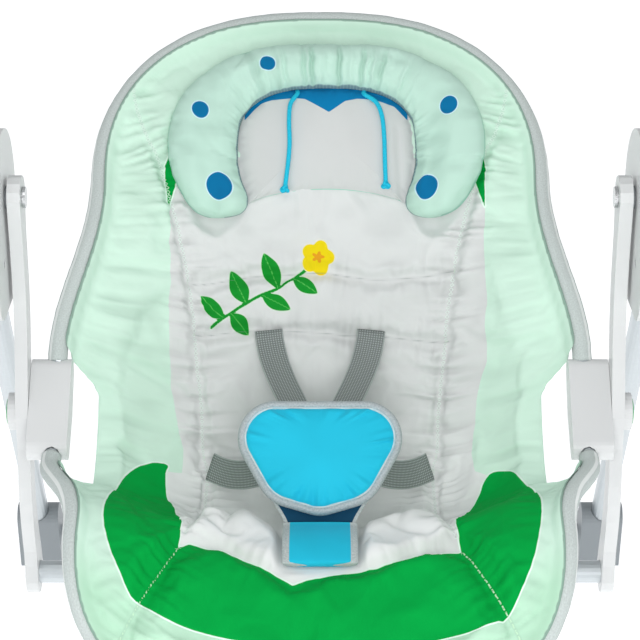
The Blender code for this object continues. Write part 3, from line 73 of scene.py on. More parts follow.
PILLOW_HEIGHT, PILLOW_TIP_POWER = 0.030, 3.0
INSERT_MIDDLE, INSERT_HOLLOW, INSERT_GAP, INSERT_CORNER = 0.132, 0.0148, 0.0010, 0.1888
INSERT_TUCK = -0.0014
INSERT_HEIGHT, INSERT_FULLNESS, INSERT_CLEARANCE = 0.016, 2.2, 0.0006
SOFT_CLEARANCE = 0.0021
CORD_RADIUS, CORD_LIFT, CORD_TUCK = 0.002, 0.001, 0.004
CORD_ROUTES = {
    "left": (
        (-0.0205, 0.0875), (-0.0265, 0.0975), (-0.0277, 0.1135), (-0.0272, 0.1340),
        (-0.0285, 0.1520), (-0.0300, 0.1635), (-0.0311, 0.1715),
    ),
    "right": (
        (0.0400, 0.0875), (0.0505, 0.0955), (0.0555, 0.1085),
        (0.0575, 0.1275), (0.0580, 0.1480), (0.0587, 0.1680),
    ),
}
BELLY_STATION, BELLY_AHEAD, BELLY_OVER, BELLY_TILT = 0.510, 0.0295, 0.0879, 57.0
BELLY_LOBES = ((-0.0375, 0.018, 0.0315), (0.0375, 0.018, 0.0315), (0.0, -0.016, 0.031))
BELLY_EDGE = 0.004
BUCKLE_HALF_WIDTH, BUCKLE_HALF_HEIGHT, BUCKLE_DEPTH = 0.026, 0.021, 0.014
WEBBING_WIDTH, WEBBING_THICKNESS, SHOULDER_X = 0.025, 0.0018, 0.046
GAP = 0.0003

CLOTH_CELL = 0.0032
RELIEF_DEPTH, RELIEF_RUN, GRID_MARGIN = 0.034, 0.023, 0.004


# Camera first: the photograph looks down on the seat from in front

def make_camera():
    data = bpy.data.cameras.new("camera")
    data.sensor_fit = "HORIZONTAL"
    data.angle = math.radians(16.95)
    camera = bpy.data.objects.new("camera", data)
    camera.location = (0, -1.7117, 1.0803)
    camera.rotation_euler = (math.radians(68), 0, 0)
    bpy.context.collection.objects.link(camera)
    bpy.context.scene.camera = camera


make_camera()


# The seat's middle surface, at x across it and s along it from the head end

def smooth(value):
    value = np.clip(value, 0.0, 1.0)
    return value * value * (3 - 2 * value)


def unit(vectors):
    return vectors / np.linalg.norm(vectors, axis=-1, keepdims=True)


def slope_at(s):
    for length, first, last in SEAT_STRETCHES:
        if s <= length:
            return math.radians(first + (last - first) * s / length)
        s -= length
    return math.radians(SEAT_STRETCHES[-1][2])


LINE_STEP = 0.001
LINE_COUNT = round(SEAT_LENGTH / LINE_STEP) + 2
line_slopes = np.array([slope_at((i + 0.5) * LINE_STEP) for i in range(LINE_COUNT)])
LINE_S = np.arange(LINE_COUNT + 1) * LINE_STEP
LINE_Y = SEAT_TOP[0] - np.concatenate(([0], np.cumsum(np.cos(line_slopes)) * LINE_STEP))
LINE_Z = SEAT_TOP[1] - np.concatenate(([0], np.cumsum(np.sin(line_slopes)) * LINE_STEP))


def side_half_width(s):
    widen = smooth((s - HEAD_END) / (HIP_START - HEAD_END))
    narrow = smooth((s - HIP_END) / (SEAT_LENGTH - FRONT_ARCH - HIP_END))
    width = HEAD_HALF_WIDTH + (HIP_HALF_WIDTH - HEAD_HALF_WIDTH) * widen
    return width + (FRONT_HALF_WIDTH - HIP_HALF_WIDTH) * narrow


def half_width(s):
    width = side_half_width(s)
    for into, arch in ((s - HEAD_START, HEAD_ARCH), (SEAT_LENGTH - s, FRONT_ARCH)):
        share = np.clip((arch - into) / arch, 0.0, 1.0)
        width = width * (1 - share**ARCH_POWER) ** (1 / ARCH_POWER)
    return width


def wall_depth(s):
    t = s / SEAT_LENGTH
    return WALL_DEPTH * smooth(t / 0.58) * (1 - smooth((t - 0.56) / 0.44))


def seat_point(x, s):
    x, s = np.asarray(x, float), np.asarray(s, float)
    share = np.abs(x) / np.maximum(half_width(s), PANEL_HALF_WIDTH)
    start = PANEL_HALF_WIDTH / HIP_HALF_WIDTH
    climb = wall_depth(s) * np.maximum((share - start) / (1 - start), 0.0) ** WALL_POWER
    lean = np.radians(BACK_ANGLE_LOW - WALL_LEAN * s / SEAT_LENGTH)
    y = np.interp(s, LINE_S, LINE_Y) - np.sin(lean) * climb
    z = np.interp(s, LINE_S, LINE_Z) + np.cos(lean) * climb
    return np.stack([x + 0 * y, y, z], -1)


def seat_normal(x, s):
    step = 0.002
    along = seat_point(x, np.minimum(s + step, SEAT_LENGTH)) - seat_point(x, np.maximum(s - step, 0.0))
    across = seat_point(x + step, s) - seat_point(x - step, s)
    return unit(-np.cross(across, along))


def pad_front(x, s):
    """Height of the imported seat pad's front face over the middle surface."""
    x, s = np.asarray(x, float), np.asarray(s, float)
    edge = half_width(s) - FRAME_RADIUS - np.abs(x)
    ends = np.minimum(s - HEAD_START, SEAT_LENGTH - s)
    seam = np.where(s < SEAT_QUILT, np.abs(np.abs(x) - PANEL_HALF_WIDTH), 1.0)
    for line in QUILT_LINES:
        away = np.abs(s - line)
        if line < SEAT_QUILT:
            away = np.where(np.abs(x) < PANEL_HALF_WIDTH, away, 1.0)
        seam = np.minimum(seam, away)
    swell = 1 - np.exp(-((seam / PAD_SEAM_WIDTH) ** 2))
    rim = smooth(np.minimum(edge, ends) / 0.03)
    return (PAD_EDGE + (PAD_THICKNESS - PAD_EDGE) * rim) / 2 + PAD_PUFF * swell * rim


def over_seat(x, s, height):
    return seat_point(x, s) + seat_normal(x, s) * (pad_front(x, s) + height)[..., None]


def outline_points(steps=60):
    """The frame tubes' middle line round the seat as (x, s), clockwise from the right of the head arch."""
    turn = np.linspace(0, math.pi, steps)
    across = np.sign(np.cos(turn)) * np.abs(np.cos(turn)) ** (2 / ARCH_POWER)
    reach = 1 - np.sin(turn) ** (2 / ARCH_POWER)
    head_s = HEAD_START + HEAD_ARCH * reach
    front_s = SEAT_LENGTH - FRONT_ARCH * reach
    head = np.stack([side_half_width(head_s) * across, head_s], -1)
    front = np.stack([side_half_width(front_s) * across, front_s], -1)
    side_s = np.linspace(HEAD_END, SEAT_LENGTH - FRONT_ARCH, steps)[1:-1]
    side = np.stack([side_half_width(side_s), side_s], -1)
    return np.concatenate([head, side * (-1, 1), front[::-1], side[::-1]])


def distance_to(points, line, closed=False):
    """Distance from each point to a line of points, and how far along the line the nearest place is."""
    line = np.asarray(line, float)
    ends = np.roll(line, -1, 0) if closed else line[1:]
    starts = line if closed else line[:-1]
    best = np.full(len(points), 9.0)
    along = np.zeros(len(points))
    run = 0.0
    for a, b in zip(starts, ends):
        edge = b - a
        length = math.hypot(*edge)
        share = np.clip(((points - a) @ edge) / max(length * length, 1e-12), 0, 1)
        away = np.linalg.norm(points - a - share[:, None] * edge, axis=1)
        closer = away < best
        best[closer] = away[closer]
        along[closer] = run + share[closer] * length
        run += length
    return best, along


def inside_distance(points, ring):
    """Signed distance to a closed ring of points, above 0 inside it."""
    ring = np.asarray(ring, float)
    away, _ = distance_to(points, ring, True)
    inside = np.zeros(len(points), bool)
    for a, b in zip(ring, np.roll(ring, -1, 0)):
        crosses = (a[1] > points[:, 1]) != (b[1] > points[:, 1])
        rise = b[1] - a[1] if abs(b[1] - a[1]) > 1e-12 else 1e-12
        at = a[0] + (points[:, 1] - a[1]) * (b[0] - a[0]) / rise
        inside ^= crosses & (points[:, 0] < at)
    return np.where(inside, away, -away)


def curve_through(points, count, closed=False):
    """A Catmull-Rom curve of count points through a list of points."""
    points = np.asarray(points, float)
    if closed:
        padded = np.concatenate([points[-1:], points, points[:2]])
        spans = len(points)
    else:
        padded = np.concatenate([[2 * points[0] - points[1]], points, [2 * points[-1] - points[-2]]])
        spans = len(points) - 1
    place = np.linspace(0, spans, count, endpoint=not closed)
    span = np.minimum(place.astype(int), spans - 1)
    t = (place - span)[:, None]
    a, b, c, d = (padded[span + k] for k in range(4))
    return (2 * b + (c - a) * t + (2 * a - 5 * b + 4 * c - d) * t**2 + (3 * b - a - 3 * c + d) * t**3) / 2


def run_of(line):
    """How far along a line of points each of them lies."""
    return np.concatenate([[0], np.cumsum(np.linalg.norm(np.diff(line, axis=0), axis=1))])


def at_run(line, run, places):
    """The points of a line at some places of its run."""
    return np.stack([np.interp(places, run, column) for column in line.T], -1)


def spread(ring, count):
    """As many points, evenly spread round a closed ring."""
    ring = np.concatenate([ring, ring[:1]])
    run = run_of(ring)
    return at_run(ring, run, np.linspace(0, run[-1], count, endpoint=False))


def ripple(values, seed, size):
    """Smooth noise between -1 and 1 along a line, with one new value every size metres."""
    random = np.random.default_rng(seed).uniform(-1, 1, 4096)
    place = np.asarray(values) / size + 1000
    index = np.floor(place).astype(int)
    share = place - index
    share = share * share * (3 - 2 * share)
    return random[index % 4096] * (1 - share) + random[(index + 1) % 4096] * share


def ripple_over(u, v, seed, size_u, size_v):
    """Smooth noise between -1 and 1 over a plane."""
    random = np.random.default_rng(seed).uniform(-1, 1, (256, 256))
    u, v = np.asarray(u) / size_u + 500, np.asarray(v) / size_v + 500
    i, j = np.floor(u).astype(int), np.floor(v).astype(int)
    a, b = u - i, v - j
    a, b = a * a * (3 - 2 * a), b * b * (3 - 2 * b)
    i0, i1, j0, j1 = i % 256, (i + 1) % 256, j % 256, (j + 1) % 256
    low = random[i0, j0] * (1 - a) + random[i1, j0] * a
    high = random[i0, j1] * (1 - a) + random[i1, j1] * a
    return low * (1 - b) + high * b


# Mesh and material helpers

def add_mesh(name, points, faces, shade=True):
    mesh = bpy.data.meshes.new(name)
    mesh.from_pydata([tuple(p) for p in points], [], [tuple(int(i) for i in f) for f in faces])
    mesh.validate()
    obj = bpy.data.objects.new(name, mesh)
    bpy.context.collection.objects.link(obj)
    if shade:
        mesh.shade_smooth()
    return obj


def set_field(obj, name, values):
    """Stores one number, or three, for each vertex."""
    values = np.asarray(values, np.float32)
    kind = "FLOAT" if values.ndim == 1 else "FLOAT_VECTOR"
    layer = obj.data.attributes.get(name) or obj.data.attributes.new(name, kind, "POINT")
    layer.data.foreach_set("value" if values.ndim == 1 else "vector", values.ravel())


def get_field(obj, name):
    layer = obj.data.attributes[name]
    single = layer.data_type == "FLOAT"
    values = np.zeros(len(layer.data) * (1 if single else 3), np.float32)
    layer.data.foreach_get("value" if single else "vector", values)
    return (values if single else values.reshape(-1, 3)).astype(float)


def set_place(obj, x, s):
    """Stores where each vertex lies on the flat cloth."""
    x, s = np.ravel(x), np.ravel(s)
    set_field(obj, "place", np.column_stack([x, s, np.zeros(len(x))]))


def set_valleys(obj, pucker):
    set_field(obj, "valley", np.clip(-pucker / VALLEY_DEPTH, 0, 1))


def vertex_points(obj):
    points = np.zeros(len(obj.data.vertices) * 3, np.float32)
    obj.data.vertices.foreach_get("co", points)
    return points.reshape(-1, 3).astype(float)


def set_points(obj, points):
    obj.data.vertices.foreach_set("co", np.asarray(points, np.float32).ravel())
    obj.data.update()


def apply_modifiers(obj):
    graph = bpy.context.evaluated_depsgraph_get()
    mesh = bpy.data.meshes.new_from_object(obj.evaluated_get(graph))
    obj.modifiers.clear()
    obj.data = mesh
    mesh.shade_smooth()


def subdivide(obj, levels=1):
    step = obj.modifiers.new("finer", "SUBSURF")
    step.levels = step.render_levels = levels
    apply_modifiers(obj)


CLOTH_SETTINGS = {
    "quality": 4,
    "mass": 0.15,
    "tension_stiffness": 20,
    "compression_stiffness": 20,
    "shear_stiffness": 8,
    "vertex_group_mass": "sewn",
    "pin_stiffness": 1.0,
    "use_pressure": True,
}


def puff(obj, pinned, pressure, growth, cap, steps, stiffness):
    """Lets cloth swell from where it is sewn down, moving no point further than the cap."""
    before = vertex_points(obj)
    group = obj.vertex_groups.new(name="sewn")
    group.add(np.nonzero(pinned)[0].tolist(), 1.0, "REPLACE")
    cloth = obj.modifiers.new("cloth", "CLOTH")
    for key, value in CLOTH_SETTINGS.items():
        setattr(cloth.settings, key, value)
    cloth.settings.bending_stiffness = stiffness
    cloth.settings.shrink_min = -growth
    cloth.settings.uniform_pressure_force = pressure
    cloth.settings.effector_weights.gravity = 0.0
    cloth.collision_settings.use_collision = False
    cloth.point_cache.frame_start = 1
    cloth.point_cache.frame_end = steps
    scene = bpy.context.scene
    for step in range(1, steps + 1):
        scene.frame_set(step)
    apply_modifiers(obj)
    scene.frame_set(1)
    move = vertex_points(obj) - before
    far = np.linalg.norm(move, axis=1, keepdims=True)
    limit = cap * np.tanh(far / cap) / np.maximum(far, 1e-9)
    set_points(obj, before + move * limit)
    obj.vertex_groups.clear()


def dress(piece, material):
    """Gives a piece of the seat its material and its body."""
    piece.data.materials.append(material)
    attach(piece, "seat")


# A wave texture of scale 1 has 20 / (2 pi) waves to a metre
WAVE_TURNS = 2 * math.pi / 20
VALLEY_DEPTH, VALLEY_SHARE = 0.0020, 0.48


class Look:
    """A Principled material built up by named steps."""

    def __init__(self, name, roughness=0.85, specular=0.5, **settings):
        self.material = bpy.data.materials.new(name)
        self.material.use_nodes = True
        self.tree = self.material.node_tree
        self.shader = self.tree.nodes["Principled BSDF"]
        self.set("Roughness", roughness)
        self.set("Specular IOR Level", specular)
        for key, value in settings.items():
            self.set(key.replace("_", " ").title(), value)

    def set(self, socket, value):
        self.link(value, self.shader.inputs[socket])

    def link(self, value, socket):
        if isinstance(value, bpy.types.NodeSocket):
            self.tree.links.new(value, socket)
        else:
            if socket.type == "RGBA" and len(value) == 3:
                value = (*value, 1.0)
            socket.default_value = value

    def node(self, kind, inputs, output=0, **props):
        node = self.tree.nodes.new(kind)
        for key, value in props.items():
            setattr(node, key, value)
        for key, value in inputs.items():
            self.link(value, node.inputs[key])
        return node.outputs[output]

    def math(self, operation, a, b=0.0, c=0.0, clamp=False):
        return self.node("ShaderNodeMath", {0: a, 1: b, 2: c}, operation=operation, use_clamp=clamp)

    def mix(self, share, a, b):
        return self.node("ShaderNodeMix", {0: share, 6: a, 7: b}, 2, data_type="RGBA")

    def field(self, name, vector=False):
        return self.node("ShaderNodeAttribute", {}, "Vector" if vector else "Fac", attribute_name=name)

    def above(self, value, limit, soft=0.0003):
        """1 where the value is above the limit, 0 below it, with a soft edge."""
        return self.math("MULTIPLY_ADD", value, 1 / soft, 0.5 - limit / soft, clamp=True)

    def band(self, value, centre, half, soft=0.0003):
        away = self.math("ABSOLUTE", self.math("SUBTRACT", value, centre))
        return self.math("SUBTRACT", 1.0, self.above(away, half, soft))

    def scaled(self, vector, scale):
        return self.node("ShaderNodeVectorMath", {0: vector, 1: scale}, operation="MULTIPLY")

    def noise(self, vector, scale, detail=2.0):
        return self.node("ShaderNodeTexNoise", {"Vector": vector, "Scale": scale, "Detail": detail}, "Fac")

    def wave(self, vector, scale, axis):
        return self.node("ShaderNodeTexWave", {"Vector": vector, "Scale": scale}, "Fac", bands_direction=axis)

    def bands(self, vector, pitch, axis):
        """One even wave every pitch metres along an axis."""
        return self.wave(vector, WAVE_TURNS / pitch, axis)

    def cloudy(self, vector, scale, colour, low, high, detail=2.0):
        """A colour that drifts softly between two shares of itself."""
        return self.mix(self.noise(vector, scale, detail), tone(colour, low), tone(colour, high))

    def deeper(self, colour, saturation, value):
        inputs = {"Color": colour, "Saturation": saturation, "Value": value}
        return self.node("ShaderNodeHueSaturation", inputs)

    def bump(self, height, distance, strength=1.0, below=None):
        inputs = {"Height": height, "Distance": distance, "Strength": strength}
        if below is not None:
            inputs["Normal"] = below
        return self.node("ShaderNodeBump", inputs)

    def place(self):
        return self.node("ShaderNodeTexCoord", {}, "Object")

    def in_valleys(self, colour):
        """The colour, deeper between the puckers, where less light reaches."""
        share = self.math("MULTIPLY", self.field("valley"), VALLEY_SHARE)
        return self.mix(share, colour, self.deeper(colour, 1.15, 0.70))

    def weave(self, vector, pitch, depth, below=None):
        """Threads over and under each other, pitch metres apart."""
        grid = self.math("MULTIPLY", self.bands(vector, pitch, "X"), self.bands(vector, pitch, "Y"))
        return self.bump(grid, depth, 0.6, below)


def tone(colour, share):
    return tuple(min(c * share, 1.0) for c in colour)


MINT = (0.665, 0.885, 0.75)
PANEL = (0.73, 0.75, 0.74)
GREEN = (0.0, 0.36, 0.055)
CYAN = (0.012, 0.50, 0.70)
BLUE = (0.0, 0.165, 0.37)
NAVY = (0.0, 0.05, 0.11)
BINDING = (0.60, 0.66, 0.64)
PILLOW_MINT = (0.54, 0.77, 0.66)
WEBBING = (0.29, 0.325, 0.315)
YELLOW = (0.86, 0.68, 0.01)
# The first and the third of these are painted shade: a deeper mint for the low front edge, and a dark line at
# the cover's rim where it meets the binding.
LOW_MINT_SHADE, BACKING, HEM_PAINTED_SHADE = (0.49, 0.75, 0.57), (0.45, 0.47, 0.46), (0.24, 0.36, 0.30)
LEAF, LEAF_VEIN, LEAF_RIM = (0.01, 0.30, 0.03), (0.10, 0.52, 0.10), (0.62, 0.82, 0.62)
FLOWER_RIM, FLOWER_MIDDLE, GREEN_RIM = (0.85, 0.82, 0.55), (0.80, 0.36, 0.02), (0.78, 0.95, 0.84)
# The first of these is painted shade in the crease of a sunk seam; the other two are thread.
SUNK_SEAM_SHADE, PALE_THREAD, GREEN_THREAD = (0.20, 0.26, 0.24), (0.80, 0.93, 0.85), (0.62, 0.86, 0.62)
DOT_RIM, INNER_SEAM, OUTER_SEAM = (0.62, 0.86, 0.90), (0.06, 0.13, 0.20), (0.16, 0.48, 0.36)
INSERT_HEM, INSERT_SIDE, TAPE_RIM = (0.30, 0.66, 0.52), (0.10, 0.16, 0.22), (0.62, 0.70, 0.70)
BELLY_TAPE = ((0.31, 0.36, 0.38), (0.50, 0.55, 0.56))
SLEEVE_TAPE = ((0.36, 0.42, 0.42), (0.58, 0.62, 0.61))


def finish_fabric(look, colour, vector, pitch=0.0006, depth=0.00005):
    """Colour with a little unevenness, soft crumples and a fine weave."""
    uneven = look.math("MULTIPLY_ADD", look.noise(vector, 14.0, 3.0), 0.10, 0.95)
    look.set("Base Color", look.deeper(colour, 1.0, uneven))
    crumpled = look.bump(look.noise(vector, 160.0, 3.0), 0.0004, 0.35)
    look.set("Normal", look.weave(vector, pitch, depth, crumpled))
    return look.material


# Cords second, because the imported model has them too


def tube_faces(rings, sides, closed=False, caps=True):
    faces = []
    for i in range(rings if closed else rings - 1):
        a, b = i * sides, (i + 1) % rings * sides
        for j in range(sides):
            k = (j + 1) % sides
            faces.append((a + j, a + k, b + k, b + j))
    if caps and not closed:
        faces.append(tuple(range(sides))[::-1])
        faces.append(tuple(range((rings - 1) * sides, rings * sides)))
    return faces


def cord_look():
    look = Look("cord_weave", 0.6, 0.25)
    place = look.place()
    look.set("Base Color", look.cloudy(place, 900.0, CYAN, 0.8, 1.35))
    look.set("Normal", look.bump(look.wave(place, 500.0, "DIAGONAL"), 0.0002, 0.6))
    return look.material


def toe_in(s):
    """How far the pillow's arms lean inwards below their turn."""
    return PILLOW_TOE_IN * smooth((s - PILLOW_TURN) / (PILLOW_END + PILLOW_HALF_BREADTH - PILLOW_TURN))


def pillow_path(steps=110):
    """The pillow's middle line from its right end to its left, as x, s and half-breadth."""
    tip = np.sin(np.linspace(math.radians(86), 0, steps // 6)[:-1])
    s = PILLOW_END + tip * PILLOW_HALF_BREADTH
    breadth = (1 - tip**PILLOW_TIP_POWER) ** (1 / PILLOW_TIP_POWER) * PILLOW_HALF_BREADTH
    end = np.array([(PILLOW_REACH - toe_in(PILLOW_END), PILLOW_END, PILLOW_HALF_BREADTH)])
    right = np.concatenate([np.stack([PILLOW_REACH - toe_in(s), s, breadth], -1), end])
    turn = np.linspace(0, math.pi, 400)
    across = np.sign(np.cos(turn)) * np.abs(np.cos(turn)) ** (2 / PILLOW_POWER)
    rise = np.sin(turn) ** (2 / PILLOW_POWER)
    breadth = PILLOW_HALF_BREADTH + (PILLOW_TOP_HALF_BREADTH - PILLOW_HALF_BREADTH) * rise**2
    arch = np.stack([PILLOW_REACH * across, PILLOW_TURN - (PILLOW_TURN - PILLOW_TOP) * rise, breadth], -1)
    whole = np.concatenate([right, arch, (right * (-1, 1, 1))[::-1]])
    run = run_of(whole[:, :2])
    line = at_run(whole, run, np.linspace(0, run[-1], steps))
    line[:, 0] += PILLOW_X
    return line


def pillow_ahead(line):
    """The way along the pillow's line, level with its arms where they turn inwards."""
    ahead = np.gradient(line[:, :2], axis=0)
    ahead[line[:, 1] >= PILLOW_TURN, 0] = 0
    return unit(ahead)


def insert_outline(count=160, gap=INSERT_GAP):
    """The insert's edge: along the pillow's inner edge, then back along a hollow lower edge."""
    line = pillow_path(400)
    ahead = pillow_ahead(line)
    keep = line[:, 1] <= INSERT_CORNER
    reach = line[keep, 2] + gap
    rim = line[keep, :2] + np.stack([ahead[keep, 1], -ahead[keep, 0]], -1) * reach[:, None]
    share = np.linspace(0, 1, 40)[1:-1, None]
    lower = rim[-1] * (1 - share) + rim[0] * share
    lower[:, 1] -= INSERT_HOLLOW * np.sin(math.pi * share[:, 0]) ** 0.6
    return spread(np.concatenate([rim, lower]), count)


insert_rim = insert_outline()


def insert_share(x, s):
    """How far out a place lies between the insert's middle, at 0, and its edge, at 1."""
    px, ps = np.asarray(x, float) - PILLOW_X, np.asarray(s, float) - INSERT_MIDDLE
    rim = insert_rim - (PILLOW_X, INSERT_MIDDLE)
    turn = np.arctan2(rim[:, 1], rim[:, 0])
    order = np.argsort(turn)
    reach = np.hypot(*rim.T)
    edge = np.interp(np.arctan2(ps, px), turn[order], reach[order], period=2 * math.pi)
    return np.hypot(px, ps) / edge


def insert_height(x, s):
    return INSERT_HEIGHT * np.maximum(1 - insert_share(x, s) ** INSERT_FULLNESS, 0.0) ** 0.6


def make_cords():
    material = cord_look()
    for side, route in CORD_ROUTES.items():
        tucked = (route[0][0], route[0][1] - CORD_TUCK)
        x, s = curve_through((tucked, *route), 26).T
        lift = INSERT_CLEARANCE + insert_height(x, s) + CORD_RADIUS + CORD_LIFT
        path = over_seat(x, s, lift)
        curve = bpy.data.curves.new(f"cord_{side}", "CURVE")
        curve.dimensions = "3D"
        curve.bevel_depth = CORD_RADIUS
        curve.bevel_resolution = 5
        curve.use_fill_caps = True
        spline = curve.splines.new("POLY")
        spline.points.add(len(path) - 1)
        for point, at in zip(spline.points, path):
            point.co = (*at, 1)
        cord = bpy.data.objects.new(f"cord_{side}", curve)
        bpy.context.collection.objects.link(cord)
        knot = make_knot(f"cord_knot_{side}", path[-1], path[-1] - path[-2], seat_normal(x[-1], s[-1]))
        for piece in (cord, knot):
            dress(piece, material)
        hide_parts(f"pillow_cord_{side}")


def make_knot(name, at, ahead, up):
    """An overhand knot: a small trefoil of the same cord."""
    ahead = unit(ahead)
    up = unit(up - ahead * (up @ ahead))
    side = np.cross(ahead, up)
    turn = np.linspace(0, 2 * math.pi, 48, endpoint=False)[:, None]
    size = 0.62 * CORD_RADIUS
    path = at + ahead * CORD_RADIUS * 1.6
    path = path + size * (np.sin(turn) + 1.6 * np.sin(2 * turn)) * side
    path = path + size * (np.cos(turn) - 1.6 * np.cos(2 * turn)) * ahead
    path = path - size * 0.9 * np.sin(3 * turn) * up
    forward = unit(np.roll(path, -1, 0) - np.roll(path, 1, 0))
    across = unit(np.cross(forward, up))[:, None]
    over = np.cross(across, forward[:, None])
    sides = 8
    round_it = np.linspace(0, 2 * math.pi, sides, endpoint=False)[:, None]
    points = path[:, None] + (np.cos(round_it) * across + np.sin(round_it) * over) * CORD_RADIUS * 0.80
    return add_mesh(name, points.reshape(-1, 3), tube_faces(len(path), sides, True))


make_cords()


# Seat cover

SIDE_SEAM = (
    (0.186, 0.030), (0.178, 0.055), (0.171, 0.080), (0.165, 0.106), (0.157, 0.131), (0.148, 0.150),
    (0.137, 0.190), (0.1315, 0.210), (0.123, 0.250), (0.1165, 0.290), (0.1125, 0.330), (0.107, 0.370),
    (0.105, 0.410), (0.100, 0.430), (0.101, 0.465), (0.101, 0.510), (0.106, 0.560), (0.114, 0.600),
)
LOBE_SEAM = ((0.117, 0.614), (0.128, 0.638), (0.142, 0.664), (0.156, 0.690), (0.166, 0.712))
QUILT_ONE = (
    (-0.121, 0.262), (-0.064, 0.252), (-0.032, 0.250), (0.0, 0.248), (0.030, 0.252), (0.058, 0.254),
    (0.124, 0.249),
)
QUILT_TWO = ((-0.114, 0.306), (-0.058, 0.300), (0.0, 0.302), (0.022, 0.304), (0.060, 0.306), (0.117, 0.312))
BAND_TOP = (
    (-0.118, 0.614), (-0.108, 0.608), (-0.080, 0.611), (-0.058, 0.626), (-0.042, 0.635), (-0.022, 0.648),
    (-0.010, 0.643), (0.012, 0.638), (0.046, 0.633), (0.078, 0.617), (0.104, 0.612), (0.116, 0.614),
)
BAND_LOW = (
    (0.142, 0.681), (0.116, 0.687), (0.090, 0.692), (0.040, 0.700), (-0.020, 0.700), (-0.066, 0.692),
    (-0.100, 0.684), (-0.126, 0.676), (-0.146, 0.668),
)
LOBE_LEFT = (
    (-0.142, 0.437), (-0.156, 0.443), (-0.170, 0.461), (-0.180, 0.490), (-0.183, 0.530), (-0.182, 0.580),
    (-0.178, 0.615), (-0.164, 0.648), (-0.146, 0.668), (-0.132, 0.644), (-0.118, 0.614), (-0.121, 0.586),
    (-0.128, 0.540), (-0.137, 0.496), (-0.143, 0.470), (-0.144, 0.448),
)
LOBE_RIGHT = (
    (0.157, 0.457), (0.168, 0.460), (0.178, 0.475), (0.185, 0.506), (0.188, 0.550), (0.184, 0.600),
    (0.174, 0.640), (0.158, 0.668), (0.142, 0.682), (0.128, 0.656), (0.116, 0.614), (0.120, 0.582),
    (0.128, 0.540), (0.138, 0.498), (0.149, 0.474),
)
PANEL_EDGE = (
    (-0.110, 0.155), (-0.131, 0.164), (-0.139, 0.196), (-0.141, 0.230), (-0.1415, 0.262), (-0.140, 0.300),
    (-0.138, 0.334), (-0.136, 0.360), (-0.132, 0.386), (-0.128, 0.415), (-0.129, 0.440), (-0.150, 0.447),
    (-0.146, 0.500), (-0.134, 0.570), (-0.125, 0.612), (-0.100, 0.640), (0.0, 0.670), (0.100, 0.640),
    (0.125, 0.612), (0.134, 0.570), (0.148, 0.500), (0.160, 0.462), (0.146, 0.450), (0.142, 0.426),
    (0.142, 0.400), (0.144, 0.372), (0.148, 0.352), (0.1535, 0.342), (0.154, 0.304), (0.154, 0.266),
    (0.154, 0.234), (0.154, 0.200), (0.143, 0.172), (0.120, 0.160),
)
WEDGE_LEFT = (
    (-0.110, 0.120), (-0.133, 0.132), (-0.142, 0.156), (-0.1415, 0.175), (-0.139, 0.196), (-0.131, 0.164),
    (-0.110, 0.150),
)
WEDGE_RIGHT = ((0.120, 0.120), (0.148, 0.140), (0.152, 0.160), (0.154, 0.200), (0.143, 0.172), (0.120, 0.150))


def rim_loop(edges):
    """The rim's vertices in the order that they meet."""
    beside = {}
    for a, b in edges.tolist():
        beside.setdefault(a, []).append(b)
        beside.setdefault(b, []).append(a)
    loop = [int(edges[0, 0])]
    before = None
    while True:
        ahead = [v for v in beside[loop[-1]] if v != before]
        before = loop[-1]
        if ahead[0] == loop[0]:
            return np.array(loop)
        loop.append(ahead[0])


def even_rim(points, outline):
    """Moves a ring of points onto the outline, in its order and almost evenly spread."""
    _, along = distance_to(points, outline, True)
    total = float(np.linalg.norm(outline - np.roll(outline, -1, 0), axis=1).sum())
    step = (np.diff(along, append=along[0]) + total / 2) % total - total / 2
    sense = 1 if step.sum() > 0 else -1
    place = along[0] + np.concatenate([[0], np.cumsum(step)[:-1]])
    even = along[0] + sense * total * np.arange(len(points)) / len(points)
    drift = place - even
    for _ in range(30):
        drift = 0.5 * drift + 0.25 * (np.roll(drift, 1) + np.roll(drift, -1))
    place = (even + drift) % total
    ring = np.concatenate([outline, outline[:1]])
    return at_run(ring, run_of(ring), place)


def cover_grid():
    """A square net over the outline, drawn to the outline at its edge: places and faces."""
    outline = outline_points()
    past_bracket = np.abs(outline[:, 1] - RECLINE_STATION) - BRACKET_REACH
    relief = RELIEF_DEPTH * (1 - smooth(past_bracket / RELIEF_RUN))
    outline[:, 0] -= np.sign(outline[:, 0]) * relief
    cell = CLOTH_CELL
    columns = int((HIP_HALF_WIDTH + GRID_MARGIN) / cell) + 1
    xs = np.arange(-columns, columns + 1) * cell
    ss = np.arange(int(SEAT_LENGTH / cell) + 1) * cell
    grid_s, grid_x = np.meshgrid(ss, xs, indexing="ij")
    places = np.stack([grid_x.ravel(), grid_s.ravel()], -1)
    inside = inside_distance(places, outline) > cell * 0.35
    width = len(xs)
    keep = inside.reshape(len(ss), width)
    cells = keep[:-1, :-1] & keep[1:, :-1] & keep[:-1, 1:] & keep[1:, 1:]
    rows, cols = np.nonzero(cells)
    a = rows * width + cols
    faces = np.stack([a, a + 1, a + width + 1, a + width], -1)
    used, faces = np.unique(faces, return_inverse=True)
    faces = faces.reshape(-1, 4)
    places = places[used]
    edges = np.concatenate([faces[:, [k, (k + 1) % 4]] for k in range(4)])
    key, counts = np.unique(np.sort(edges, axis=1), axis=0, return_counts=True)
    rim_edges = key[counts == 1]
    loop = rim_loop(rim_edges)
    places[loop] = even_rim(places[loop], outline)
    free = np.ones(len(places), bool)
    free[np.unique(rim_edges)] = False
    close = free & (inside_distance(places, outline) < cell * 4)
    for _ in range(12):
        total = np.zeros_like(places)
        count = np.zeros(len(places))
        np.add.at(total, key[:, 0], places[key[:, 1]])
        np.add.at(total, key[:, 1], places[key[:, 0]])
        np.add.at(count, key[:, 0], 1)
        np.add.at(count, key[:, 1], 1)
        places[close] = (total / count[:, None])[close]
    directed = {tuple(e) for e in edges.tolist()}
    rim_pairs = [(a, b) if (a, b) in directed else (b, a) for a, b in rim_edges.tolist()]
    return places, faces, rim_pairs, outline


